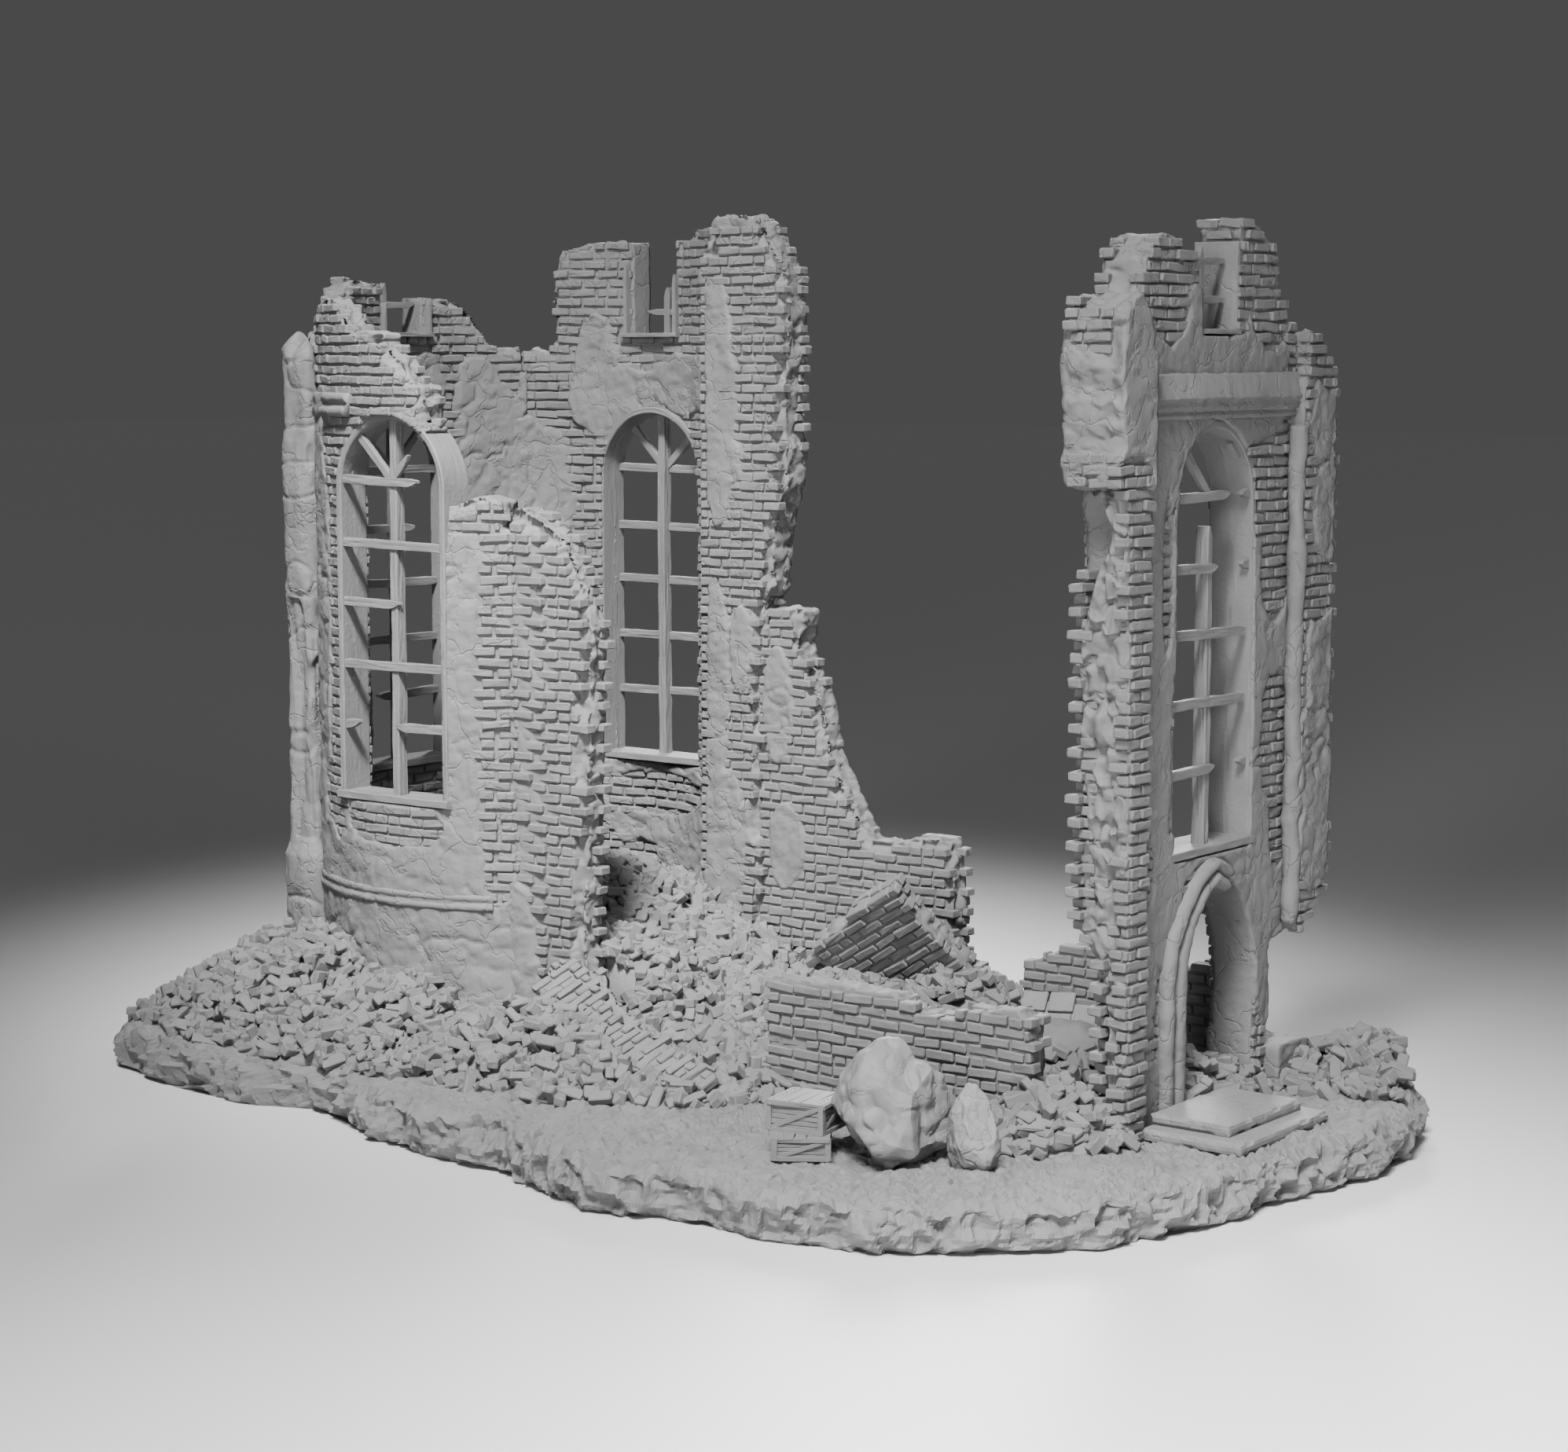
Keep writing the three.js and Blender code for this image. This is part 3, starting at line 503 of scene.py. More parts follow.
    def slab(self, cells, outer, inner, layers, wobble):
        """A closed sheet of wall between its outer and inner surfaces, rough at its edges."""
        stride = cells.shape[1] + 1
        i, j = np.nonzero(cells)
        corner = i * stride + j
        quad = np.stack([corner, corner + stride, corner + stride + 1, corner + 1], axis=1)
        padded = np.pad(cells, 1, constant_values=False)
        sides = (
            (padded[i + 1, j], 0, 1), (padded[i + 2, j + 1], 1, 2),
            (padded[i + 1, j + 2], 2, 3), (padded[i, j + 1], 3, 0),
        )
        edges = np.concatenate([quad[~near][:, [a, b]] for near, a, b in sides])
        place_s, place_w = self.grid_s.ravel().copy(), self.grid_w.ravel().copy()
        for _ in range(6):
            relax(place_s, edges)
            relax(place_w, edges)
        used, flat = np.unique(quad, return_inverse=True)
        flat = flat.reshape(quad.shape)
        rim, rim_edges = np.unique(edges, return_inverse=True)
        rim_edges = rim_edges.reshape(edges.shape)
        count = len(used)
        outer_points = self.chart.at(place_s[used], place_w[used], outer.ravel()[used])
        inner_points = self.chart.at(place_s[used], place_w[used], inner.ravel()[used])
        faces = [flat, flat[:, ::-1] + count]
        place = {node: k for k, node in enumerate(used)}
        rim_used = np.array([place[node] for node in rim])
        tidy = self.sample(self.near_clean(), place_s[rim], place_w[rim])
        levels, points = [rim_used], [outer_points, inner_points]
        for layer in range(1, layers + 1):
            share = layer / (layers + 1)
            t = outer.ravel()[rim] * (1 - share) + inner.ravel()[rim] * share
            seeds = np.stack([place_s[rim], place_w[rim], t], axis=1)
            amount = wobble * (1 - tidy)
            ds = amount * (noise(seeds, 2.6, self.seed + 41) + 0.6 * noise(seeds, 1.2, self.seed + 42))
            dw = amount * (noise(seeds, 2.6, self.seed + 43) + 0.6 * noise(seeds, 1.2, self.seed + 44))
            points.append(self.chart.at(place_s[rim] + ds, place_w[rim] + dw, t))
            levels.append(2 * count + (layer - 1) * len(rim) + np.arange(len(rim)))
        levels.append(rim_used + count)
        a, b = rim_edges[:, 0], rim_edges[:, 1]
        for upper, lower in zip(levels[:-1], levels[1:]):
            faces.append(np.stack([upper[b], upper[a], lower[a], lower[b]], axis=1))
        return np.concatenate(points), faces

    def near_clean(self):
        """1 on and near the dressed ends and openings, which stay straight."""
        grown = self.clean.copy()
        for _ in range(3):
            padded = np.pad(grown, 1, constant_values=False)
            grown = padded[:-2, 1:-1] | padded[2:, 1:-1] | padded[1:-1, :-2] | padded[1:-1, 2:] | grown
        return grown.astype(float)


def relax(values, edges):
    """Moves each rim point to the middle of its neighbours along the rim."""
    total = np.zeros_like(values)
    count = np.zeros_like(values)
    for a, b in ((0, 1), (1, 0)):
        np.add.at(total, edges[:, a], values[edges[:, b]])
        np.add.at(count, edges[:, a], 1)
    rim = count > 0
    values[rim] = 0.5 * values[rim] + 0.5 * total[rim] / count[rim]


def build_wall(wall, slot, outer_coat, inner_coat, layers=8, bite=0.6, wobble=0.9, extra=(), overhang=0.5,
               peel=(0, 0), hollow=None):
    """Bed, plaster and both leaves of bricks as one piece that stands for the wall's CAD node."""
    wall.close_joints()
    bare = [wall.peeled(width, side) for side, width in enumerate(peel)]
    outer = wall.surface(outer_coat, 0, bare[0])
    inner = -wall.thickness - wall.surface(inner_coat, 1, bare[1])
    if hollow:
        inner = inner + hollow(wall.grid_s, wall.grid_w)
        bare[1] = bare[1] | (hollow(wall.cell_s, wall.cell_w) > 1.5)
    depth = min(BRICK_DEPTH, wall.thickness * 0.42)
    parts = [
        wall.slab(wall.bed_cells(bite), outer, inner, layers, wobble),
        wall.bricks(0, outer_coat, depth, overhang, bare[0]),
        wall.bricks(1, inner_coat, depth, overhang, bare[1]),
        *extra,
    ]
    points, faces = joined([part for part in parts if len(part[0])])
    make_object(f"{wall.node}_masonry", points, faces, slot, (wall.node,))


def arch_zone(a, w, half, sill, apex):
    """Which places lie inside a round-headed opening."""
    spring = apex - half
    below = (np.abs(a) < half) & (w > sill) & (w <= spring)
    head = np.hypot(a, np.maximum(w - spring, 0)) < half
    return below | (head & (w > spring))


# ------------------------------------------------------------------ the apse


def apse_arc(degrees):
    """The place along the unrolled apse wall of an angle round it."""
    return math.radians(degrees) * APSE_MIDDLE


JOINED = {"front": 134, "end": 174, "rear": 174}  # how high each part is whole at its ends


def apse_walls():
    """The round apse: three brick segments with plaster, one window in each."""
    chart = Round()
    spans = {"front": (-137, -54.8), "end": (137, 223), "rear": (54.8, 137)}
    turn = {"front": -90, "end": 180, "rear": 90}
    outer = {
        "front": (
            [(apse_arc(-95), 20, 60, 36), (apse_arc(-128), 110, 10, 62), (apse_arc(-67), 78, 7, 46),
             (apse_arc(-68), 30, 16, 40), (apse_arc(-65), 112, 6, 22)],
            [(apse_arc(-113), 92, 5, 44), (apse_arc(-90), 190, 40, 24), (apse_arc(-60), 139, 20, 8),
             (apse_arc(-90), 56, 18, 6), (apse_arc(-57), 84, 5, 46), (apse_arc(-88), 170, 14, 8),
             (apse_arc(-106), 140, 8, 16)],
        ),
        "end": ([], [(apse_arc(180), 186, 60, 16)]),
        "rear": ([], [(apse_arc(95), 196, 60, 18)]),
    }
    inner = {
        "front": ([(apse_arc(-100), 30, 30, 26)], [(apse_arc(-90), 190, 50, 20)]),
        "end": ([(apse_arc(153), 163, 8, 13), (apse_arc(145), 151, 10, 17), (apse_arc(136), 144, 8, 14),
                 (apse_arc(214), 120, 10, 40)],
                [(apse_arc(180), 190, 60, 14)]),
        "rear": ([(apse_arc(135), 144, 9, 15), (apse_arc(125), 135, 8, 10), (apse_arc(110), 172, 7, 15),
                  (apse_arc(104), 163, 14, 11), (apse_arc(82), 34, 8, 16), (apse_arc(94), 22, 12, 12)],
                 [(apse_arc(100), 200, 30, 12), (apse_arc(90), 52, 20, 6)]),
    }
    bias = {"front": -0.1, "end": 0.25, "rear": 0.2}
    for index, side in enumerate(spans):
        low, high = (apse_arc(a) for a in spans[side])
        reach = (low - 3, high + 3)
        wall = Wall(f"apse_wall_{side}", chart, APSE_OUTER - APSE_INNER, reach, (-3, 214), 11 + index)
        local = APSE_MIDDLE * np.sin((wall.cell_s - apse_arc(turn[side])) / APSE_MIDDLE)
        wall.clean |= arch_zone(local, wall.cell_w, WINDOW_HALF + 0.9, WINDOW_SILL - 0.9, WINDOW_APEX + 0.9)
        wall.clean |= (np.abs(local) < SMALL_HALF + 0.9) & (wall.cell_w > SMALL_SILL - 0.9)
        beside = (wall.cell_s < low) | (wall.cell_s > high)
        wall.clean |= beside & (wall.cell_w < JOINED[side])
        outer_coat = wall.plaster(*outer[side], bias[side], 0)
        inner_coat = wall.plaster(*inner[side], -0.25, 1)
        build_wall(wall, "plaster", outer_coat, inner_coat, peel=(1.8, 0) if side == "front" else (0, 1.2))


# ------------------------------------------------------------------ nave walls


def nave_walls():
    """The straight walls of the nave and the tall pier behind it."""
    thickness = NAVE_OUTER - NAVE_INNER
    front = Flat((0, -NAVE_OUTER, 0), (1, 0, 0))
    rear = Flat((0, NAVE_OUTER, 0), (-1, 0, 0))

    corner = Swelling((0, -NAVE_OUTER, 0), (1, 0, 0), thickness, 2.7, 34, 47)
    stub = Wall("nave_wall_front_stub", corner, thickness, (31, 60), (-3, 142), 21)
    stub.clean |= (stub.cell_s < 35) & (stub.cell_w < 138)
    outer = stub.plaster([(34, 22, 9, 20)], [(50, 70, 12, 90), (46, 134, 20, 7)], -0.5, 0)
    inner = stub.plaster([(40, 60, 8, 30)], [(54, 70, 8, 90)], -0.2, 1)
    build_wall(stub, "brick", outer, inner, overhang=0.4, peel=(3.0, 0))

    pier = Wall("chancel_pier_rear", rear, 11, (-61, -25), (-3, 218), 22)
    pier.clean |= (pier.cell_s > -31.5) & (pier.cell_w < 205)
    outer = pier.plaster([(-38, 100, 10, 70), (-44, 180, 9, 24)], [], 0.1, 0)
    inner = pier.plaster(
        [(-35, 166, 5.5, 36), (-34, 84, 5, 30), (-36, 40, 9, 24), (-43, 97, 4, 12)],
        [(-53, 160, 11, 60), (-40, 122, 12, 9), (-38, 212, 12, 8), (-29.5, 120, 1.6, 100)],
        -0.3, 1,
    )
    build_wall(pier, "plaster", outer, inner, overhang=0.35, peel=(0, 2.6))

    stepped = Wall("nave_wall_rear_stepped", rear, thickness, (-114, -45), (-3, 112), 23)
    stepped.clean |= (stepped.cell_s > -51.5) & (stepped.cell_w < 104)
    outer = stepped.plaster([(-70, 30, 20, 20)], [], 0.1, 0)
    inner = stepped.plaster([(-54, 82, 5, 16), (-57, 44, 6, 12)], [(-90, 30, 26, 24)], -0.35, 1)
    build_wall(stepped, "brick", outer, inner, overhang=0.4, peel=(0, 1.8))

    low_front = Wall("nave_wall_front_low", front, thickness, (112, 191), (-3, 31), 24)
    bare = low_front.plaster([], [(150, 10, 60, 40)], -0.8, 0)
    build_wall(low_front, "brick", bare, bare, overhang=0.4, peel=(0, 1.2))

    low_rear = Wall("nave_wall_rear_low", rear, thickness, (-202, -132), (-3, 30), 25)
    low_rear.clean |= low_rear.cell_s < -196
    bare = low_rear.plaster([], [(-165, 10, 60, 40)], -0.8, 0)
    build_wall(low_rear, "brick", bare, bare, overhang=0.4, peel=(0.8, 0))


# ------------------------------------------------------------------ the door wall


def pointed_arch(half, apex):
    """The radius of a pointed arch, its rise, and the height that it springs from."""
    radius = 1.5 * half
    rise = math.sqrt(radius**2 - (radius - half) ** 2)
    return radius, rise, apex - rise


def pointed_zone(a, w, half, apex):
    """Tells which places lie inside a pointed arch."""
    radius, _, spring = pointed_arch(half, apex)
    climb = np.maximum(w - spring, 0)
    reach = np.sqrt(np.maximum(radius**2 - climb**2, 0)) - (radius - half)
    return np.abs(a) < np.where(w < spring, half, reach)


def door_wall():
    """The wall with the door and the windows, broken at its head and both sides."""
    chart = Flat((DOOR_WALL_FACE, 0, 0), (0, 1, 0))
    thickness = DOOR_WALL_FACE - DOOR_WALL_BACK
    wall = Wall("facade_wall", chart, thickness, (-48, 40), (-3, 212), 31, relief=0.4)
    wall.clean |= arch_zone(wall.cell_s, wall.cell_w, WINDOW_HALF + 0.9, WINDOW_SILL - 0.9, WINDOW_APEX + 0.9)
    wall.clean |= (np.abs(wall.cell_s) < SMALL_HALF + 0.9) & (np.abs(wall.cell_w - 190) < 9.5)
    wall.clean |= pointed_zone(wall.cell_s, wall.cell_w, DOOR_HALF + 0.9, DOOR_APEX + 0.9)
    wall.clean |= (np.abs(wall.cell_s) > 36) & (wall.cell_w < 186) & (wall.cell_w > 38)
    wall.clean |= (wall.cell_s < -36) & (wall.cell_w < 186)
    outer = wall.plaster(
        [(-28, 100, 9, 80), (0, 168, 36, 14), (22, 60, 13, 20), (0, 168, 30, 8), (-30, 170, 8, 20),
         (26, 172, 8, 12), (27, 40, 6, 26), (-14, 190, 7, 12)],
        [(28, 128, 7, 14), (30, 86, 8, 16), (0, 208, 60, 16), (-22, 190, 8, 12), (31, 66, 4, 12),
         (-40, 196, 12, 14), (24, 192, 11, 14), (-22, 128, 2.5, 20), (-32, 60, 6, 10)],
        0.25, 0,
    )
    inner = wall.plaster([(-24, 60, 12, 40)], [(0, 200, 60, 18)], 0.05, 1)
    rng = np.random.default_rng(310)
    reveal = Flat((0, SMALL_HALF + 0.3, 0), (1, 0, 0))
    head = loose_courses(reveal, (DOOR_WALL_BACK + 0.5, DOOR_WALL_FACE - 0.3), (200, 208), rng, 0.5)
    build_wall(wall, "plaster", outer, inner, wobble=0.7, extra=(head,), hollow=door_wall_hollow)


def door_wall_hollow(across, height):
    """How far the wall's back is broken away beside the door."""
    return 6.0 * (1 - smoothstep(-29, -26, across)) * (1 - smoothstep(43, 48, height))


def left_pilaster():
    """The plastered block high on the left, and the broken brick core below it."""
    chart = Flat((PILASTER_FACE, 0, 0), (0, 1, 0))
    wall = Wall("facade_pilaster_left", chart, PILASTER_FACE - 199.3, (-51, -33), (144, 194), 33, relief=0.6)
    wall.clean |= (wall.cell_s > -36.6) & (wall.cell_w < 178)
    outer = wall.plaster([(-42, 168, 14, 26)], [(-44, 150, 8, 5)], 0.4, 0)
    inner = wall.plaster([(-42, 168, 14, 18)], [], 0.2, 1)
    side = Flat((0, -49, 0), (1, 0, 0))
    rng = np.random.default_rng(330)
    edging = loose_courses(side, (199.6, 214.6), (149, 155), rng, 0.6)
    crown = loose_courses(side, (200, 212), (177, 187), rng, 0.3)
    build_wall(wall, "plaster", outer, inner, layers=16, bite=0.9, wobble=0.9, extra=(edging, crown),
               overhang=0.7)

    core = Wall("facade_pier_left_core", chart, PILASTER_FACE - 201.5, (-47, -33), (-3, 147), 34)
    core.clean |= core.cell_s > -36.6
    bare = core.plaster([], [(-40, 70, 30, 120)], -0.9, 0)
    side = Flat((0, -42.6, 0), (1, 0, 0))
    rng = np.random.default_rng(340)
    quoins = loose_courses(side, (209.4, 214.9), (0, 147), rng, 2.2)
    scattered = loose_courses(side, (203.0, 209.0), (0, 147), rng, 0.4, pier_back, 0.7)
    teeth = [toothed_ends(side, 200.6, (48, 130), rng), toothed_ends(side, 207.0, (0, 46), rng)]
    build_wall(core, "brick", bare, bare, layers=16, bite=0.4, wobble=1.7, extra=(quoins, scattered, *teeth),
               overhang=0.55, hollow=left_pier_hollow)


def left_pier_hollow(_, height):
    """The left pier's back is broken away by its height alone."""
    return pier_back(height)


def pier_back(height):
    """How far the back of the left pier is broken away at each height."""
    waist = 7.5 * np.exp(-(((height - 137) / 9) ** 2)) + 6.5 * (1 - smoothstep(38, 50, height))
    return waist + 0.9 * np.sin(height / 9.0) + 0.7 * np.sin(height / 3.7)


def loose_courses(chart, s_range, w_range, rng, proud, start=None, gaps=0.0):
    """Courses of short bricks on a wall's broken side; start moves each course's first brick."""
    found = []
    for course in range(round(w_range[0] / COURSE), round(w_range[1] / COURSE)):
        low = s_range[0] + rng.uniform(-0.8, 0.8)
        if start:
            low += float(start((course + 0.5) * COURSE))
        stop = s_range[1] - rng.uniform(0, 0.4)
        if course % 2:
            low += 1.6
        while low < stop - 1.5:
            high = min(low + rng.choice([3.7, 5.4, 7.2]), stop)
            if stop - high < 1.6:
                high = stop
            if rng.random() >= gaps:
                found.append((low, high, (course + 0.5) * COURSE, rng.uniform(-0.3, proud)))
            low = high
    s0, s1, w, out = np.array(found).T
    count = len(s0)
    centres = chart.at((s0 + s1) / 2, w, out - 1.8)
    halves = np.stack([(s1 - s0 - JOINT) / 2, np.full(count, (COURSE - JOINT) / 2), np.full(count, 1.85)], 1)
    return blocks(centres, turned(chart.axes(s0), rng, 0.03), halves, rng)


def toothed_ends(chart, s, w_range, rng):
    """A leaf torn off in steps: every second brick end still stands out."""
    found = []
    for course in range(round(w_range[0] / COURSE), round(w_range[1] / COURSE)):
        proud = 2.6 + rng.uniform(-0.6, 0.8) if course % 2 else rng.uniform(-1.0, 0.4)
        found.append((s + rng.uniform(-0.4, 0.4), (course + 0.5) * COURSE, proud))
    s, w, out = np.array(found).T
    count = len(s)
    centres = chart.at(s, w, out - 3.0)
    halves = np.stack([np.full(count, 1.75), np.full(count, (COURSE - JOINT) / 2), np.full(count, 3.0)], 1)
    return blocks(centres, turned(chart.axes(s), rng, 0.04), halves, rng)


def right_pilaster():
    """The pilaster right of the door, its toothed ends and the plinth under it."""
    chart = Flat((PILASTER_FACE, 0, 0), (0, 1, 0))
    wall = Wall("facade_pilaster_right", chart, PILASTER_FACE - 199.3, (33, 51), (36, 185), 35)
    wall.clean |= (wall.cell_s < 36.6) & (wall.cell_w < 172)
    outer = wall.plaster(
        [(42, 60, 8, 12), (40, 84, 6, 10), (44, 104, 7, 18), (46, 140, 7, 12), (43, 160, 7, 8)],
        [(46, 178, 8, 10), (42, 120, 8, 7)], -0.05, 0,
    )
    inner = wall.plaster([], [], 0.1, 1)
    side = Flat((0, 49, 0), (-1, 0, 0))
    rng = np.random.default_rng(350)
    ends = toothed_ends(side, -202, (48, 170), rng)
    others = toothed_ends(side, -212.6, (48, 172), rng)
    build_wall(wall, "plaster", outer, inner, layers=16, bite=0.9, wobble=0.7, extra=(ends, others),
               overhang=0.5)

    plinth_face = Flat((PILASTER_FACE - 0.5, 0, 0), (0, 1, 0))
    plinth = Wall("facade_plinth_right", plinth_face, 14.3, (27, 43), (-3, 13), 36)
    plinth.clean |= plinth.cell_s < 30
    coat = plinth.plaster([(34, 4, 20, 20)], [], 0.9, 0)
    build_wall(plinth, "plaster", coat, coat, layers=14, bite=0.5, wobble=0.4)


# ------------------------------------------------------------------ swept mouldings and timber


def tube(points, start, end):
    """A closed skin over rings of points, with a fan of triangles to a point at each end."""
    rows, columns = points.shape[:2]
    index = np.arange(rows * columns).reshape(rows, columns)
    after = np.roll(index, -1, axis=1)
    quads = np.stack([index[:-1], after[:-1], after[1:], index[1:]], axis=-1).reshape(-1, 4)
    first = np.stack([np.full(columns, index.size), after[0], index[0]], axis=1)
    last = np.stack([np.full(columns, index.size + 1), index[-1], after[-1]], axis=1)
    return np.concatenate([points.reshape(-1, 3), [start], [end]]), [quads, first, last]


def sweep(path, normals, binormals, section):
    """A section (across, out) carried along a path; section may be one outline or one per station."""
    path = np.asarray(path, float)
    sections = np.broadcast_to(np.asarray(section, float), (len(path), *np.shape(section)[-2:]))
    points = (
        path[:, None]
        + sections[..., :1] * normals[:, None]
        + sections[..., 1:] * binormals[:, None]
    )
    return tube(points, points[0].mean(0), points[-1].mean(0))


def outline_box(half_a, half_b, chamfer, steps):
    """A rounded rectangle as a ring of points, finely divided on its long sides."""
    corners = []
    for sa, sb in ((1, 1), (-1, 1), (-1, -1), (1, -1)):
        first = (sa * half_a, sb * (half_b - chamfer))
        second = (sa * (half_a - chamfer), sb * half_b)
        corners += [first, second] if sa == sb else [second, first]
    ring = []
    for (a0, b0), (a1, b1) in zip(corners, corners[1:] + corners[:1]):
        pieces = max(1, round(math.hypot(a1 - a0, b1 - b0) / steps))
        ring += [(a0 + (a1 - a0) * k / pieces, b0 + (b1 - b0) * k / pieces) for k in range(pieces)]
    return np.array(ring)


def grained(points, along, normals, binormals, section, seed):
    """Wood grain: shallow furrows that run along a board."""
    angle = np.arctan2(section[:, 1], section[:, 0])
    rows, columns = len(along), len(section)
    key = np.zeros((rows, columns, 3))
    key[..., :2] = section[None]
    key[..., 2] = along[:, None] / 9.0
    furrow = noise(key, 0.55, seed) + 0.5 * noise(key * (1, 1, 3), 1.1, seed + 1)
    out = normals[:, None] * np.cos(angle)[None, :, None] + binormals[:, None] * np.sin(angle)[None, :, None]
    body = points[: rows * columns].reshape(rows, columns, 3) + GRAIN * furrow[..., None] * out
    changed = points.copy()
    changed[: rows * columns] = body.reshape(-1, 3)
    return changed


def board(start, end, width, depth, facing, seed, bow=0.15, split=(0, 0)):
    """A plank from start to end: width across, depth along facing, with split (splintered) ends."""
    start, end = np.asarray(start, float), np.asarray(end, float)
    length = np.linalg.norm(end - start)
    along = (end - start) / length
    facing = np.asarray(facing, float)
    facing = facing - along * (facing @ along)
    facing = facing / np.linalg.norm(facing)
    side = np.cross(facing, along)
    rows = max(4, round(length / BOARD_STEP) + 1)
    travel = np.linspace(0, length, rows)
    sway = bow * noise(np.stack([travel, travel * 0 + seed, travel * 0], 1), 14, seed)
    path = start + travel[:, None] * along + sway[:, None] * side
    ring = outline_box(width / 2, depth / 2, min(width, depth) * 0.1, 0.5)
    sections = np.repeat(ring[None], rows, axis=0)
    taper = np.ones(rows)
    for flag, end_rows in ((split[0], slice(0, 3)), (split[1], slice(-3, None))):
        if flag:
            shape = np.array([0.25, 0.7, 0.95])
            taper[end_rows] = shape if end_rows.start == 0 else shape[::-1]
    sections[..., 0] *= taper[:, None]
    sections[..., 0] += ((1 - taper) * width * 0.22)[:, None]
    normals, binormals = np.tile(side, (rows, 1)), np.tile(facing, (rows, 1))
    points, faces = sweep(path, normals, binormals, sections)
    return grained(points, travel, normals, binormals, ring, seed), faces


class Window:
    """A window's own frame: x across it, z up, and d inwards from its outer face."""

    def __init__(self, turn, face):
        self.turn = math.radians(turn)
        self.face = face

    def at(self, x, z, d):
        y = d - self.face
        c, s = math.cos(self.turn), math.sin(self.turn)
        return np.array([x * c - y * s, x * s + y * c, z])

    def direction(self, x, z, d):
        return self.at(x, z, d) - self.at(0, 0, 0)


def arch_path(half, sill, apex):
    """Points and outward normals (x, z) up one jamb, over the round head and down the other."""
    spring = apex - half
    count = round((spring - sill) / ARCH_STEP)
    up = [((half, sill + (spring - sill) * k / count), (1, 0)) for k in range(count)]
    turns = round(math.pi * half / ARCH_STEP)
    angles = [math.pi * k / turns for k in range(turns + 1)]
    head = [((half * math.cos(a), spring + half * math.sin(a)), (math.cos(a), math.sin(a))) for a in angles]
    down = [((-x, z), (-nx, nz)) for (x, z), (nx, nz) in reversed(up)]
    return up + head + down


def window_frame(name, node, window, depth, seed):
    """The timber lining: one bent board round the opening, and a sill."""
    middle = WINDOW_HALF - WINDOW_BOARD / 2
    stations = arch_path(middle, WINDOW_SILL + 0.4, WINDOW_APEX - WINDOW_BOARD / 2)
    path = np.array([window.at(x, z, depth / 2) for (x, z), _ in stations])
    normals = np.array([window.direction(nx, nz, 0) for _, (nx, nz) in stations])
    binormals = np.tile(window.direction(0, 0, -1), (len(path), 1))
    ring = outline_box(WINDOW_BOARD / 2, depth / 2, 0.3, 0.7)
    points, faces = sweep(path, normals, binormals, ring)
    travel = np.concatenate([[0], np.cumsum(np.linalg.norm(np.diff(path, axis=0), axis=1))])
    lining = (grained(points, travel, normals, binormals, ring, seed), faces)
    sill_height = WINDOW_SILL + WINDOW_BOARD / 2
    sill = board(
        window.at(-WINDOW_HALF - 0.5, sill_height, depth / 2 - 0.4),
        window.at(WINDOW_HALF + 0.5, sill_height, depth / 2 - 0.4),
        WINDOW_BOARD * 1.1, depth + 0.8, window.direction(0, 0, -1), seed + 3,
    )
    points, faces = joined([lining, sill])
    make_object(name, points, faces, "timber", (node,), smooth=False)


def lattice(name, node, window, style, seed):
    """Mullion, bars and struts; a bar is (height, from, to), and stubs are what a broken one left."""
    reach = WINDOW_HALF - WINDOW_BOARD + 0.2
    parts = [
        board(window.at(0, WINDOW_SILL + 1, 2.9), window.at(0.1, style["top"], 2.9), 2.4, 3.4,
              window.direction(0, 0, -1), seed, bow=0.2, split=(0, style.get("split", 0)))
    ]
    for index, (row, x0, x1) in enumerate(style["bars"]):
        height = BAR_HEIGHTS[row]
        tilt = 0.25 * math.sin(7.1 * index + seed)
        broken = (x0 > -1, x1 < 1)
        parts.append(
            board(window.at(x0 * reach, height - tilt, 1.5), window.at(x1 * reach, height + tilt, 1.5),
                  2.3, 1.7, window.direction(0, 0, -1), seed + 10 + index, split=broken)
        )
    for side in style["struts"]:
        parts.append(
            board(window.at(side * 0.6, BAR_HEIGHTS[4] + 0.4, 2.0), window.at(side * 12.9, 157.0, 2.0),
                  2.0, 1.6, window.direction(0, 0, -1), seed + 30 + side)
        )
    for x0, x1, z0, z1 in style.get("extra", ()):
        parts.append(
            board(window.at(x0, z0, 2.0), window.at(x1, z1, 2.0), 1.9, 1.5,
                  window.direction(0, 0, -1), seed + 50 + int(z0), split=(0, 1))
        )
    points, faces = joined(parts)
    make_object(name, points, faces, "timber", (node,), smooth=False)


def small_window(frame_node, bars_node, window, depth, tops, x, top, cross, seed):
    """The frame and bars of a small upper window."""
    left, right = tops
    inset = SMALL_HALF - SMALL_BOARD / 2
    middle = depth / 2
    facing = window.direction(0, 0, -1)
    parts = [
        board(window.at(-inset, SMALL_SILL, middle), window.at(-inset, left, middle),
              SMALL_BOARD, depth, facing, seed, split=(0, 1)),
        board(window.at(inset, SMALL_SILL, middle), window.at(inset, right, middle),
              SMALL_BOARD, depth, facing, seed + 1, split=(0, 1)),
        board(window.at(-SMALL_HALF - 0.5, SMALL_SILL + 0.6, middle),
              window.at(SMALL_HALF + 0.5, SMALL_SILL + 0.6, middle),
              SMALL_BOARD, depth + 0.8, facing, seed + 2),
    ]
    points, faces = joined(parts)
    make_object(f"{frame_node}_timber", points, faces, "timber", (frame_node,), smooth=False)
    reach = SMALL_HALF - SMALL_BOARD
    bars = [
        board(window.at(x, SMALL_SILL + 1, 3.9), window.at(x, top, 3.9), 2.0, 1.7, facing, seed + 4,
              split=(0, 1))
    ]
    for index, (height, x0, x1) in enumerate(cross):
        bars.append(
            board(window.at(x0 * reach, height, 3.7), window.at(x1 * reach, height, 3.7), 1.7, 1.5, facing,
                  seed + 5 + index, split=(x0 > -1, x1 < 1))
        )
    points, faces = joined(bars)
    make_object(f"{bars_node}_timber", points, faces, "timber", (bars_node,), smooth=False)


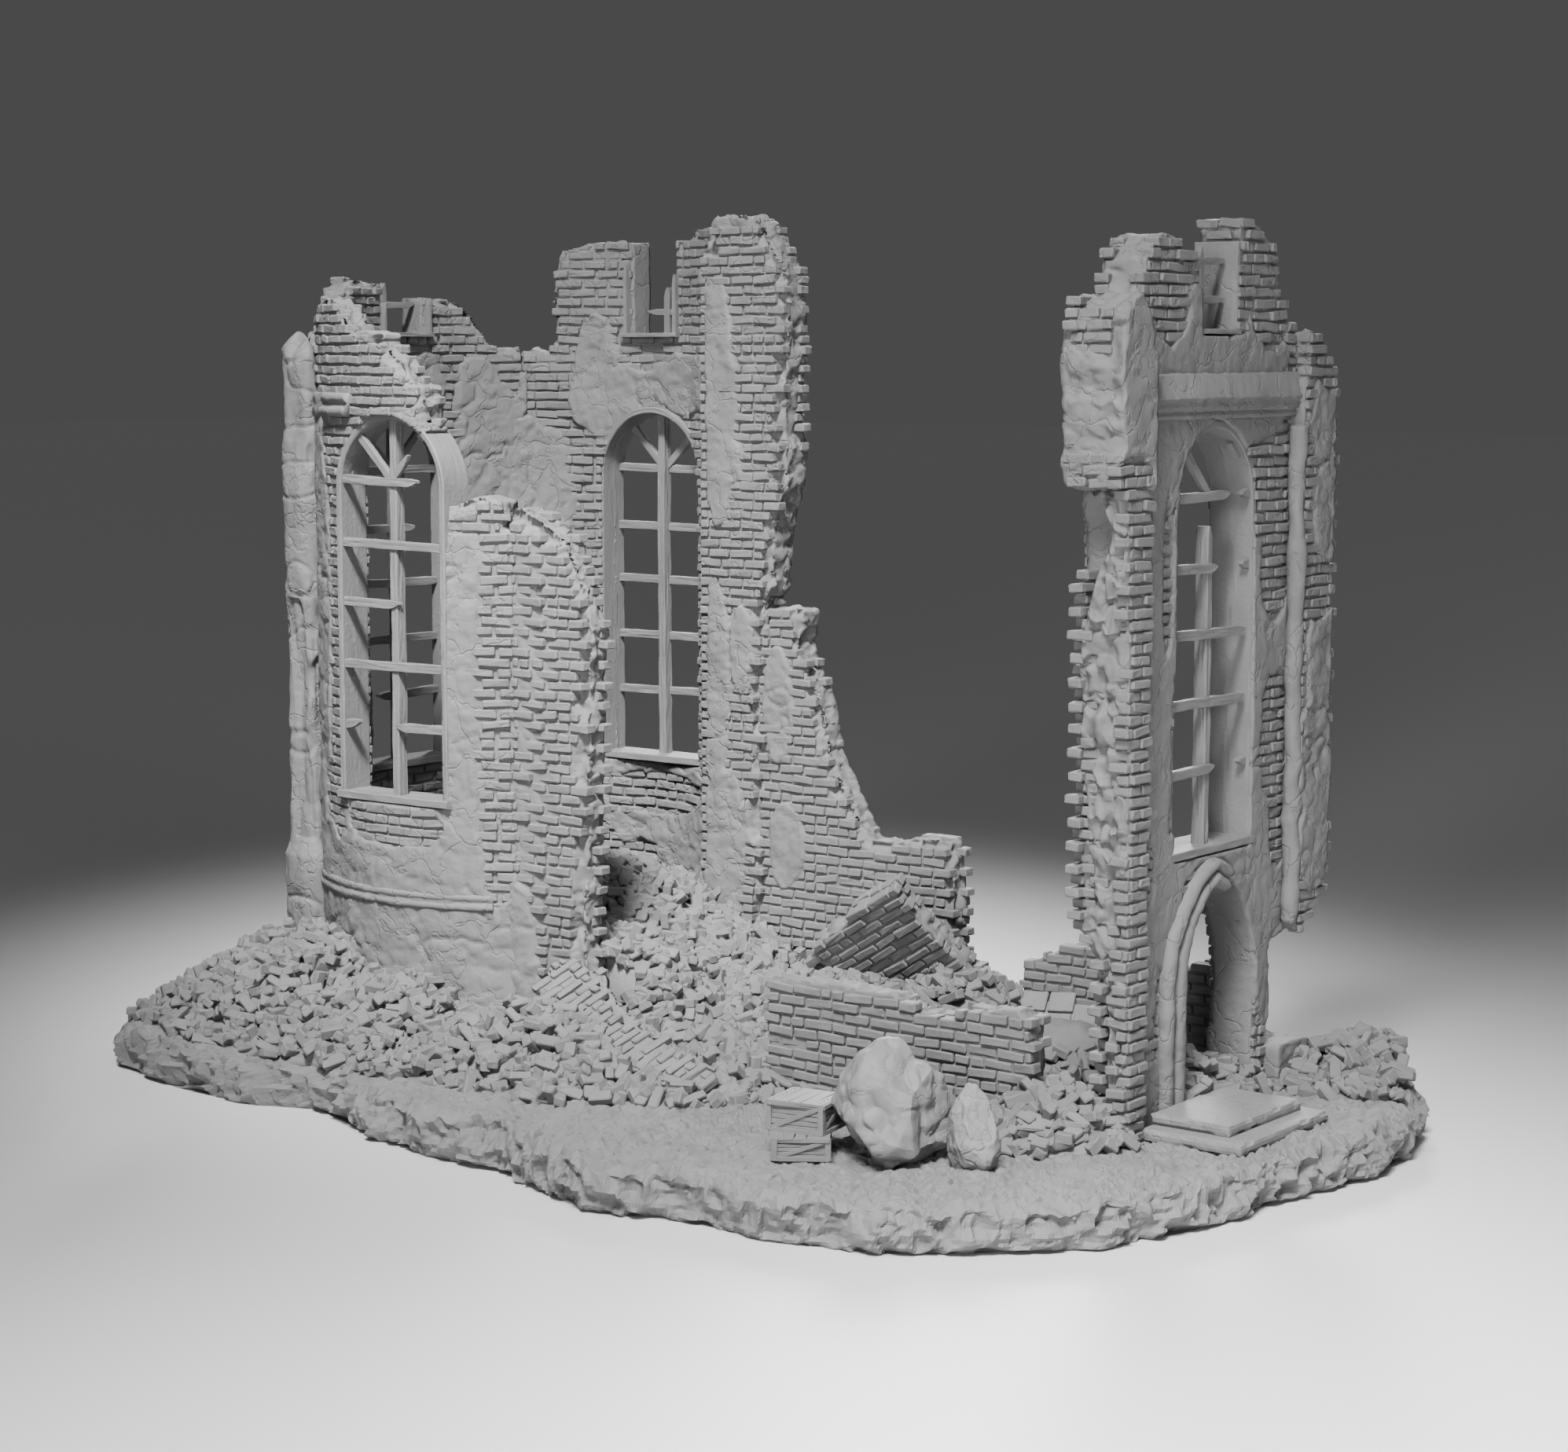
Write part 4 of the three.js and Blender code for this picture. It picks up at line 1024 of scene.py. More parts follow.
def windows():
    """Every window in the apse and in the door wall."""
    front, end, rear = Window(0, WINDOW_FACE), Window(-90, WINDOW_FACE), Window(180, WINDOW_FACE)
    face = DOOR_WALL_FACE - 0.4
    depth = face - DOOR_WALL_BACK - 0.4
    door = Window(90, face)
    styles = {
        "front": {"top": 160, "struts": (-1,),
                  "extra": [(1, 5.5, 146, 151), (9.5, 13.2, 155.4, 158.2)],
                  "bars": [(0, 0.05, 1), (0, -1, -0.72), (1, -1, 1), (2, -1, 0.12), (3, -1, 1),
                           (4, -1, 0.5)]},
        "end": {"top": 160, "struts": (-1, 1),
                "bars": [(0, -1, 0.35), (1, -1, 1), (2, -1, 1), (3, -0.5, 1), (4, -1, 1)]},
        "rear": {"top": 160, "struts": (-1, 1), "bars": [(row, -1, 1) for row in range(5)]},
    }
    for index, (side, window) in enumerate((("front", front), ("end", end), ("rear", rear))):
        window_frame(f"window_lining_{side}", f"window_frame_{side}", window, WINDOW_DEPTH, 60 + index)
        lattice(f"window_lattice_{side}", f"window_bars_{side}", window, styles[side], 70 + 5 * index)
    window_frame("facade_window_lining", "facade_window_frame", door, depth, 65)
    broken = {"top": 137.5, "split": 1, "struts": (-1,),
              "bars": [(0, -1, 0.15), (0, 0.82, 1), (1, -1, 0.9), (2, -1, 0.9), (3, -1, 0.15), (3, 0.84, 1),
                       (4, -1, 0.45), (4, 0.8, 1)],
              "extra": [(13.5, 9.5, 153.5, 156.6)]}
    lattice("facade_window_lattice", "facade_window_bars", door, broken, 90)
    small_window("small_frame_end", "small_bars_end", end, WINDOW_DEPTH, (192.4, 191), 4.6, 196.5,
                 [(190.4, -0.9, 1)], 100)
    small_window("small_frame_rear", "small_bars_rear", rear, WINDOW_DEPTH, (199, 202), -2.4, 195.5,
                 [(188.6, -1, 0.55)], 110)
    small_window("small_frame_facade", "small_bars_facade", door, depth, (193, 203), -2.5, 201.5,
                 [(189.5, -1, 0.9), (198.4, -0.8, 0.9)], 120)


def worn(points, amount, size, seed):
    """Points moved a little each way, as casting and weather leave a surface."""
    shift = np.stack([fractal(points, size, seed + k) for k in range(3)], axis=1)
    return points + amount * shift


def ring_moulding(name, node, span, heights, proud, seed):
    """A moulding round part of the apse, worn away at its ends."""
    low, high = (math.radians(a) for a in span)
    count = round((high - low) * APSE_OUTER / 0.8)
    angles = np.linspace(low, high, count)
    zero = np.zeros(count)
    radius = APSE_OUTER + 0.2
    path = np.stack([radius * np.cos(angles), radius * np.sin(angles), zero + heights[0]], axis=1)
    out = np.stack([np.cos(angles), np.sin(angles), zero], axis=1)
    up = np.tile([0.0, 0.0, 1.0], (count, 1))
    tall = heights[1] - heights[0]
    section = np.array([(-1.5, 0), (0.3, 0), (proud, 0.12 * tall), (proud, 0.36 * tall),
                        (0.35 * proud, 0.46 * tall), (0.35 * proud, 0.6 * tall),
                        (0.75 * proud, 0.68 * tall), (0.75 * proud, 0.9 * tall),
                        (0.2, tall), (-1.5, tall)])
    sections = np.repeat(section[None], count, axis=0)
    key = np.stack([angles * 60, zero + seed, zero], axis=1)
    keep = smoothstep(-0.75, -0.35, noise(key, 9, seed))
    sections[..., 0] = np.minimum(sections[..., 0], 0.25 + sections[..., 0] * keep[:, None])
    points, faces = sweep(path, out, up, sections)
    make_object(name, worn(points, 0.14, 2.2, seed), faces, "plaster", (node,))


def apse_mouldings():
    """Base bands and cornices round the apse."""
    bands = {"front": (231, 300), "end": (144.5, 215.5), "rear": (60, 129)}
    cornices = {"front": (229.5, 257), "end": (143, 217), "rear": (58, 130.5)}
    for index, side in enumerate(bands):
        ring_moulding(f"apse_band_{side}_moulding", f"apse_band_{side}", bands[side],
                      (34.6, 38.8), 0.9, 130 + index)
        ring_moulding(f"apse_cornice_{side}_moulding", f"apse_cornice_{side}", cornices[side],
                      (160.8, 167), 1.9, 140 + index)


def apse_columns():
    """Round shafts on the apse with plastered plinths; patches of plaster have fallen off."""
    for index, (side, degrees) in enumerate((("front", -137), ("rear", 137))):
        seed = 150 + index
        angle = math.radians(degrees)
        centre = np.array([61.2 * math.cos(angle), 61.2 * math.sin(angle)])
        _, high = box_of(f"apse_column_{side}")
        heights = np.arange(-3, high[2] + 1, 0.55)
        around = np.linspace(0, 2 * math.pi, 72, endpoint=False)
        h, a = np.meshgrid(heights, around, indexing="ij")
        radius = 5.6 + 1.5 * (1 - smoothstep(41.5, 44.5, h)) + 0.5 * np.exp(-((h - 44) / 1.1) ** 2)
        key = np.stack([5 * np.cos(a), 5 * np.sin(a), h], axis=-1)
        long_key = key * np.array([1.0, 1.0, 0.4])
        loss = smoothstep(0.2, 0.3, noise(key * np.array([1.5, 1.5, 0.6]), 9, seed)) * (h > 46)
        crack = 1 - smoothstep(0.0, 0.09, np.abs(noise(key, 9, seed + 5)))
        crease = np.minimum(np.abs(noise(long_key, 5, seed + 6)), 0.5)
        lumps = 0.75 * fractal(long_key, 8, seed + 1) + 0.12 * noise(key, 1.6, seed + 2)
        square = 0.6 * np.cos(4 * (a - math.radians(degrees)))
        radius = radius + square - 1.4 * loss + lumps + 1.2 * crease - 0.6 * crack
        crown = high[2] - 1.5
        top = crown + 2.5 * noise(np.stack([5 * np.cos(a), 5 * np.sin(a), 0 * a], -1), 4, seed + 3)
        radius = radius * np.sqrt(np.clip((top + 1.5 - h) / 5, 0.02, 1))
        ring = [centre[0] + radius * np.cos(a), centre[1] + radius * np.sin(a), np.minimum(h, top + 1)]
        points = np.stack(ring, axis=-1)
        points, faces = tube(points, points[0].mean(0), points[-1].mean(0))
        make_object(f"apse_column_{side}_shaft", points, faces, "plaster", (f"apse_column_{side}",))


def door_mouldings():
    """The cornice, the shaft in the nook and the double roll round the door."""
    low, high = box_of("facade_cornice")
    count = round((high[1] - low[1]) / 0.7)
    across = np.linspace(low[1], high[1], count)
    path = np.stack([np.full(count, DOOR_WALL_FACE), across, np.zeros(count)], axis=1)
    section = np.array([(-1, 162.4), (1.2, 162.4), (1.5, 163.4), (1.0, 164.0), (2.0, 164.4), (2.3, 165.3),
                        (2.0, 166.2), (2.9, 166.8), (2.9, 167.4), (2.2, 168), (1.6, 172.2), (0.4, 172.8),
                        (-1, 172.8)])
    normals, ups = np.tile([1.0, 0, 0], (count, 1)), np.tile([0, 0, 1.0], (count, 1))
    points, faces = sweep(path, normals, ups, section)
    make_object("facade_cornice_moulding", worn(points, 0.16, 2.4, 160), faces, "plaster",
                ("facade_cornice",))

    low, high = box_of("facade_nook_shaft")
    centre = (low + high) / 2
    heights = np.arange(low[2], high[2] + 0.1, 1.0)
    path = np.stack([np.full(len(heights), centre[0]), np.full(len(heights), centre[1]), heights], axis=1)
    turn = np.linspace(0, 2 * math.pi, 16, endpoint=False)
    section = 2.1 * np.stack([np.cos(turn), np.sin(turn)], axis=1)
    normals, ups = np.tile([1.0, 0, 0], (len(path), 1)), np.tile([0, 1.0, 0], (len(path), 1))
    points, faces = sweep(path, normals, ups, section)
    make_object("facade_nook_shaft_turned", worn(points, 0.5, 5.0, 161), faces, "plaster",
                ("facade_nook_shaft",))
    door_surround()


def pointed_path(half, apex):
    """Points and outward normals (v, w) from the left foot over the crown to the right foot."""
    radius, rise, spring = pointed_arch(half, apex)
    turn = math.asin(rise / radius)
    jamb = round(spring / POINTED_STEP)
    arc = round(radius * turn / POINTED_STEP)
    left = [((-half, spring * k / jamb), (-1.0, 0.0)) for k in range(jamb)]
    for k in range(arc + 1):
        a = math.pi - turn * k / arc
        place = (radius - half + radius * math.cos(a), spring + radius * math.sin(a))
        left.append((place, (math.cos(a), math.sin(a))))
    right = [((-x, z), (-nx, nz)) for (x, z), (nx, nz) in reversed(left)]
    return left, right


def door_surround():
    """The double roll round the pointed door, broken off right of its crown."""
    left, right = pointed_path((DOOR_HALF + DOOR_INNER) / 2, (DOOR_APEX + DOOR_INNER_APEX) / 2)
    left[-1] = (left[-1][0], (0.0, 1.0))
    stations = left + right[1:8]
    count = len(stations)
    face = PILASTER_FACE - 1.6
    path = np.array([(face - 4, y, z) for (y, z), _ in stations])
    normals = np.array([(0, ny, nz) for _, (ny, nz) in stations])
    outs = np.tile([1.0, 0.0, 0.0], (count, 1))
    width = (DOOR_HALF - DOOR_INNER) / 2
    rolls = []
    for centre, radius in ((width * 0.5, width * 0.46), (-width * 0.46, width * 0.5)):
        for k in range(7):
            a = math.pi * k / 6
            rolls.append((centre + radius * math.cos(a), 1.6 + radius * math.sin(a)))
    section = np.array(rolls + [(-width, -6.5), (width, -6.5)])
    thick = np.array([1.0 if z > 3 else 1.12 for (_, z), _ in stations])
    head = smoothstep(36, 52, path[:, 2])
    sections = section[None] * np.stack([thick * (1 - 0.28 * head), thick], axis=1)[:, None, :]
    points, faces = sweep(path, normals, outs, sections)
    make_object("door_surround_rolls", worn(points, 0.3, 3.2, 162), faces, "plaster", ("door_surround",))


# ------------------------------------------------------------------ stones, steps, tiles, crates


def chipped_box(low, high, seed):
    """A stone block with worn, chipped edges, as a finely divided closed box."""
    low, high = np.asarray(low, float), np.asarray(high, float)
    centre, half = (low + high) / 2, (high - low) / 2
    counts = np.maximum(2, np.round(2 * half / BLOCK_STEP).astype(int))
    points, faces, count = [], [], 0
    for axis in range(3):
        a, b = [(axis + 1) % 3, (axis + 2) % 3]
        for sign in (-1, 1):
            x, y = np.meshgrid(np.linspace(-1, 1, counts[a] + 1), np.linspace(-1, 1, counts[b] + 1),
                               indexing="ij")
            sheet = np.zeros((*x.shape, 3))
            sheet[..., axis], sheet[..., a], sheet[..., b] = sign, x, y
            ids = np.arange(x.size).reshape(x.shape) + count
            quad = np.stack([ids[:-1, :-1], ids[1:, :-1], ids[1:, 1:], ids[:-1, 1:]], axis=-1).reshape(-1, 4)
            points.append((sheet * half).reshape(-1, 3))
            faces.append(quad if sign > 0 else quad[:, ::-1])
            count += x.size
    local = np.concatenate(points)
    keys, merge = np.unique(np.round(local, 4), axis=0, return_inverse=True)
    merge = merge.ravel()
    faces = [merge[group] for group in faces]
    near = np.sort(half - np.abs(keys), axis=1)[:, 1]
    soft = np.clip(1 - near / 1.0, 0, 1)
    chips = smoothstep(-0.1, 0.6, noise(keys + seed, 3.2, seed))
    direction = keys / np.maximum(np.linalg.norm(keys, axis=1, keepdims=True), 1e-6)
    pull = np.sign(keys) * (half - np.abs(keys) < 1e-3)
    swell = fractal(keys + seed, 4, seed + 1)[:, None]
    moved = keys - pull * (soft * (0.18 + 0.5 * chips))[:, None] + 0.11 * direction * swell
    return moved + centre, faces


def steps():
    """The two doorsteps."""
    for name, seed in (("step_lower", 170), ("step_upper", 171)):
        low, high = box_of(name)
        points, faces = chipped_box(low - (2, 0, 0.4), high, seed)
        make_object(f"{name}_stone", points, faces, "stone", (name,), smooth=False)


def rock(name, node, seed, facets, spread, crown):
    """A boulder: a sphere cut by planes, broad at its foot, narrow at its crown, then worn."""
    bpy.ops.mesh.primitive_ico_sphere_add(subdivisions=7, radius=1)
    source = bpy.context.object
    unit = np.array([v.co for v in source.data.vertices])
    faces = [np.array([tuple(p.vertices) for p in source.data.polygons])]
    bpy.data.objects.remove(source, do_unlink=True)
    rng = np.random.default_rng(seed)
    direction = unit.copy()
    for _ in range(facets):
        plane = rng.normal(0, 1, 3)
        plane /= np.linalg.norm(plane)
        over = np.maximum(unit @ plane - rng.uniform(0.62, 0.88), 0)
        unit = unit - 0.93 * over[:, None] * plane
    low, high = box_of(node)
    centre, half = (low + high) / 2, (high - low) / 2
    size = half.mean()
    points = unit * half * (1.1, 1.1, 1.06)
    key = points / size
    bumps = 0.13 * fractal(key, 0.9, seed) + 0.2 * np.minimum(np.abs(noise(key, 0.6, seed + 8)), 0.5) - 0.05
    chips = 0.03 * noise(key, 0.2, seed + 4) + 0.08 * np.minimum(np.abs(noise(key, 0.28, seed + 9)), 0.4)
    points = points + direction * (size * (bumps + chips))[:, None]
    up = np.clip((points[:, 2] + half[2]) / (2 * half[2]), 0, 1)
    points[:, :2] *= (spread * (1 - up) + crown * up)[:, None]
    centre[2] = low[2] + half[2] * 0.86
    points = points + centre
    points[:, 2] = np.clip(points[:, 2], -1.0, high[2])
    make_object(name, points, faces, "stone", (node,), smooth=False)


TILE = 7.2
TILE_CENTRE = np.array([158.3, 28.2, 5.4])
TILE_TURN = Matrix.Rotation(math.radians(22), 3, "Z") @ Matrix.Rotation(math.radians(35), 3, "X")
TILE_AXES = np.array(TILE_TURN.transposed())


def over_tiles(centres):
    """Which loose bricks would hide the tilted floor slab."""
    local = (centres - TILE_CENTRE) @ TILE_AXES.T
    return (np.abs(local[:, 0]) < 2.6 * TILE) & (np.abs(local[:, 1]) < 2.1 * TILE) & (local[:, 2] > -3)


def floor_tiles():
    """The tilted slab of square tiles."""
    axes, centre, tile = TILE_AXES, TILE_CENTRE, TILE
    rng = np.random.default_rng(175)
    found = []
    for column, row in itertools.product(range(5), range(4)):
        place = centre + (column - 2) * tile * axes[0] + (row - 1.5) * tile * axes[1]
        place = place + rng.normal(0, 0.12, 1) * axes[2]
        if place[1] < NAVE_INNER - 0.5 and place[2] > -1:
            found.append(place)
    count = len(found)
    halves = np.tile([tile / 2 - 0.34, tile / 2 - 0.34, 1.0], (count, 1))
    tile_axes = turned(np.tile(axes, (count, 1, 1)), rng, 0.008)
    tiles = blocks(np.array(found), tile_axes, halves, rng, chamfer=0.22, wear=0.03)
    bed_axes = axes[None]
    bed_centre = (np.mean(found, axis=0) - 0.9 * axes[2])[None]
    bed = blocks(bed_centre, bed_axes, np.array([[tile * 2.3, tile * 1.9, 0.6]]), rng, chamfer=0.4, wear=0.05)
    points, faces = joined([tiles, bed])
    make_object("floor_tiles_laid", points, faces, "stone", ("floor_tiles",))


def crate(name, node, yaw, seed):
    """Slats between corner battens, a diagonal brace on each side, and a nailed lid."""
    low, high = box_of(node)
    centre = (low + high) / 2
    width, depth, tall = {"crate_lower": (13.2, 12.4, 5.2), "crate_upper": (14.2, 13.0, 7.0)}[node]
    turn = np.array(Matrix.Rotation(math.radians(yaw), 3, "Z"))
    rng = np.random.default_rng(seed)
    boxes = []

    def add(middle, size):
        boxes.append((centre + turn @ np.array(middle, float), turn.T, np.array(size, float) / 2))

    inner = 0.9
    add((0, 0, 0), (width - 2 * inner, depth - 2 * inner, tall - 1.0))
    slats = 5
    pitch = (tall - 1.0) / slats
    for side, (span, reach) in enumerate(((width, depth), (depth, width)) * 2):
        angle = side * math.pi / 2
        spin = np.array(Matrix.Rotation(angle, 3, "Z"))
        out = reach / 2

        def face(middle, size, tilt=0.0):
            local = spin @ np.array(Matrix.Rotation(tilt, 3, "Y"))
            place = centre + turn @ spin @ np.array(middle, float)
            boxes.append((place, (turn @ local).T, np.array(size, float) / 2))

        for k in range(slats):
            face((0, -out + 0.85, -tall / 2 + 0.5 + pitch * (k + 0.5)), (span - 1.2, 0.6, pitch * 0.86))
        for x in (-1, 1):
            face((x * (span / 2 - 0.65), -out + 0.45, 0), (1.3, 0.9, tall - 0.2))
        for z in (-1, 1):
            face((0, -out + 0.42, z * (tall / 2 - 0.5)), (span - 0.6, 0.84, 1.0))
        length = math.hypot(span - 2.4, tall - 1.6)
        face((0, -out + 0.5, 0), (length, 0.7, 0.95), -math.atan2(tall - 1.6, span - 2.4))
    planks = 5
    for k in range(planks):
        x = (k - (planks - 1) / 2) * width / planks
        add((x, 0, tall / 2 - 0.15), (width / planks * 0.95, depth + 0.1, 0.6))
    for x, k in itertools.product((-1, 1), range(6)):
        add((x * (width / 2 - 1.4), (k - 2.5) * depth / 6.5, tall / 2 + 0.18), (0.34, 0.34, 0.22))
    centres, axes, halves = (np.array(group) for group in zip(*boxes))
    points, faces = blocks(centres, axes, halves, rng, chamfer=0.07, wear=0.018)
    make_object(name, points, faces, "timber", (node,), smooth=False)


def loose_planks():
    """Two planks that lie on the rubble."""
    for index, (letter, yaw, roll, length, place) in enumerate(
        (("a", -25, 6, 14, (122, -52, 4.4)), ("b", -32, 8, 12, (135, -56, 3.6)))
    ):
        yaw, roll = math.radians(yaw), math.radians(roll)
        direction = np.array([math.cos(yaw), math.sin(yaw), -math.sin(roll)])
        half = direction * length / 2
        points, faces = board(np.array(place) - half, np.array(place) + half, 2.4, 1.0, (0, 0, 1),
                              180 + index, split=(1, 1))
        make_object(f"fallen_plank_{letter}_board", points, faces, "timber", (f"fallen_plank_{letter}",))


# ------------------------------------------------------------------ fallen walls


def fallen_walls():
    """The fallen slab and fragment of brick wall."""
    slab = Flat((110, 8, 28), (0.864, -0.042, 0.51), (-0.437, -0.563, 0.7))
    wall = Wall("fallen_wall_slab", slab, 7.5, (-28, 17), (-27, 13), 41)
    bare = wall.plaster([], [(0, 0, 60, 60)], -0.9, 0)
    build_wall(wall, "brick", bare, bare, overhang=0.4)
    fragment = Flat((81, -58, 14), (0.364, 0.8, 0.477), (-0.924, 0.246, 0.293))
    wall = Wall("fallen_wall_fragment", fragment, 5.0, (-18, 10), (-48, 38), 42)
    bare = wall.plaster([], [(0, 0, 90, 90)], -0.9, 0)
    build_wall(wall, "brick", bare, bare, overhang=0.35, peel=(3.0, 0))


# ------------------------------------------------------------------ rubble

HEAPS = {
    "rubble_apse": 1.0, "rubble_left": 1.0, "rubble_gap": 1.0, "rubble_nave": 1.0,
    "rubble_front_pier": 1.0, "rubble_doorway": 1.0, "rubble_right": 1.0, "rubble_floor_bed": 0.7,
}
HEAP_STEP = 1.1
BRICK_COVER = 6.6  # heap area for each loose brick
SKIRT = 18.0  # how far a heap can slide over its neighbours


def rubble():
    """All the heaps of loose bricks."""
    everywhere = tree_of(*HEAPS)
    for index, (node, density) in enumerate(HEAPS.items()):
        heap = Heap(tree_of(node), everywhere, *box_of(node), 200 + index)
        points, faces = joined([heap.mound(), heap.loose_bricks(density)])
        make_object(f"{node}_bricks", points, faces, "brick", (node,))


class Heap:
    """One rubble mound with loose bricks over it."""

    def __init__(self, tree, everywhere, low, high, seed):
        self.seed = seed
        self.rng = np.random.default_rng(seed)
        self.u = np.arange(low[0] - SKIRT, high[0] + SKIRT, HEAP_STEP)
        self.v = np.arange(low[1] - SKIRT, high[1] + SKIRT, HEAP_STEP)
        grid_u, grid_v = np.meshgrid(self.u, self.v, indexing="ij")
        flat = np.stack([grid_u.ravel(), grid_v.ravel()], axis=1)
        heights = drop_heights(tree, flat).reshape(grid_u.shape)
        self.filled = ~np.isnan(heights)
        self.height = np.where(self.filled, heights, 0.0)
        slope_from_sill = 0.3 + 0.9 * (PILASTER_FACE - grid_u)
        inside_door = (np.abs(grid_v - 4) < 20) & (grid_u > 190) & (grid_u < PILASTER_FACE)
        self.height = np.where(inside_door, np.minimum(self.height, slope_from_sill), self.height)
        self.spread(~np.isnan(drop_heights(everywhere, flat).reshape(grid_u.shape)))
        self.height = self.softened(self.height)
        self.grid = np.stack([grid_u, grid_v], axis=-1)

    def spread(self, allowed):
        """Where a heap was cut off square against the next one, its bricks slide down over it."""
        for _ in range(round(SKIRT / HEAP_STEP)):
            around = [np.roll(self.height, turn, axis) for axis in (0, 1) for turn in (-1, 1)]
            slid = np.max(around, axis=0) - HEAP_STEP
            self.height = np.where(allowed & (slid > self.height), slid, self.height)
        self.filled |= allowed & (self.height > 0.4)

    def softened(self, heights):
        """The cone's facets, rounded into a mound."""
        weight = self.filled.astype(float)
        total = heights.copy()
        for _ in range(6):
            for axis in (0, 1):
                total = (np.roll(total, 1, axis) + 2 * total + np.roll(total, -1, axis)) / 4
                weight = (np.roll(weight, 1, axis) + 2 * weight + np.roll(weight, -1, axis)) / 4
            total = np.where(self.filled, total, 0)
            weight = np.where(self.filled, weight, 0)
        return np.where(self.filled, total / np.maximum(weight, 1e-3), 0)

    def mound(self):
        """The lumpy earth that the loose bricks lie on."""
        cells = self.filled[:-1, :-1] & self.filled[1:, :-1] & self.filled[1:, 1:] & self.filled[:-1, 1:]
        key = np.concatenate([self.grid, np.full((*self.grid.shape[:2], 1), float(self.seed))], axis=-1)
        lumps = 1.1 * fractal(key, 6, self.seed) + 0.5 * noise(key, 2.2, self.seed + 3)
        top = np.maximum(self.height + lumps - 1.3, 0.1)
        sheet = Wall.__new__(Wall)
        sheet.chart, sheet.seed, sheet.step = Ground(), self.seed, HEAP_STEP
        sheet.s, sheet.w = self.u, self.v
        sheet.grid_s, sheet.grid_w = self.grid[..., 0], self.grid[..., 1]
        sheet.clean = np.zeros_like(cells)
        return sheet.slab(cells, top, np.full_like(top, -1.5), 1, 0.3)

    def loose_bricks(self, density):
        """Bricks strewn over the mound, whole and broken."""
        rng = self.rng
        places = self.grid[self.filled]
        tops = self.height[self.filled]
        slope_u, slope_v = np.gradient(self.height, HEAP_STEP)
        steep = np.minimum(np.sqrt(1 + slope_u**2 + slope_v**2), 2.5)[self.filled]
        count = int(steep.sum() * HEAP_STEP**2 / BRICK_COVER * density)
        pick = rng.choice(len(places), count, p=steep / steep.sum())
        centres = np.zeros((count, 3))
        centres[:, :2] = places[pick] + rng.uniform(-0.6, 0.6, (count, 2))
        centres[:, 2] = np.maximum(tops[pick], 0.6) + rng.uniform(-1.3, 1.1, count)
        kind = rng.random(count)
        length = np.where(kind < 0.55, 3.1, np.where(kind < 0.9, 2.1, 1.3)) * rng.uniform(0.88, 1.08, count)
        width = np.where(kind < 0.9, 1.45, 1.1) * rng.uniform(0.9, 1.05, count)
        tall = np.where(kind < 0.9, 1.12, 0.9) * rng.uniform(0.92, 1.08, count)
        halves = np.stack([length, width, tall], axis=1)
        centres[:, 2] = np.maximum(centres[:, 2], 0.7)
        clear = ~over_tiles(centres)
        return blocks(centres[clear], tumbled(rng, count)[clear], halves[clear], rng, chamfer=0.3, wear=0.07)


def tumbled(rng, count):
    """Random directions: any heading, mostly lying, some standing on end."""
    heading = rng.uniform(0, 2 * math.pi, count)
    lift = rng.normal(0, 0.38, count) + (rng.random(count) < 0.12) * rng.choice([-1, 1], count) * 0.9
    first = np.stack([np.cos(heading) * np.cos(lift), np.sin(heading) * np.cos(lift), np.sin(lift)], axis=1)
    roll = rng.normal(0, 0.55, count) + (rng.random(count) < 0.2) * math.pi / 2
    side = np.stack([-np.sin(heading), np.cos(heading), np.zeros(count)], axis=1)
    up = np.cross(first, side)
    second = side * np.cos(roll)[:, None] + up * np.sin(roll)[:, None]
    return orthogonal(first, second)


# ------------------------------------------------------------------ base


def base():
    """Rocky ground: rings from the middle out to a lobed rim, and down its rough side."""
    low, high = box_of("base")
    centre = (low + high) / 2
    tree = tree_of("base")
    spokes = 1300
    angles = np.linspace(0, 2 * math.pi, spokes, endpoint=False)
    reach = np.zeros(spokes)
    level = (low[2] + high[2]) / 2
    for k, a in enumerate(angles):
        ray = Vector((math.cos(a), math.sin(a), 0))
        place, _, _, _ = tree.ray_cast(Vector((centre[0], centre[1], level)) + ray * FAR, -ray)
        reach[k] = math.hypot(place.x - centre[0], place.y - centre[1])
    out = np.stack([np.cos(angles), np.sin(angles)], axis=1)
    rim = centre[:2] + out * reach[:, None]
    key = np.concatenate([rim, np.zeros((spokes, 1))], axis=1)
    lobes = 2.0 * (np.abs(noise(key, 22, 301)) * 2 - 1)
    reach = reach - 1.6 + lobes * 0.7
    turn = np.linspace(-0.44 * math.pi, 0.5 * math.pi, 17)
    side_insets = 3.6 - 3.6 * np.cos(turn)
    side_levels = -5.6 + 5.55 * np.sin(turn)
    insets = np.concatenate([[60], side_insets, 4.5 + 0.9 * np.arange(64), 63 + 2.2 * np.arange(60)])
    levels = np.concatenate([[UNDERSIDE], side_levels, np.zeros(124)])
    keep = insets < reach.min() - 3
    insets, levels = insets[keep], levels[keep]
    radius = np.maximum(reach[None] - insets[:, None], 2.0)
    points = np.zeros((len(insets), spokes, 3))
    points[..., :2] = centre[:2] + out[None] * radius[..., None]
    points[..., 2] = levels[:, None]
    points = rough_ground(points, out, levels)
    points, faces = tube(points, [*centre[:2], UNDERSIDE], [*centre[:2], 0])
    make_object("base_ground", points, faces, "ground", ("base",), smooth=False)


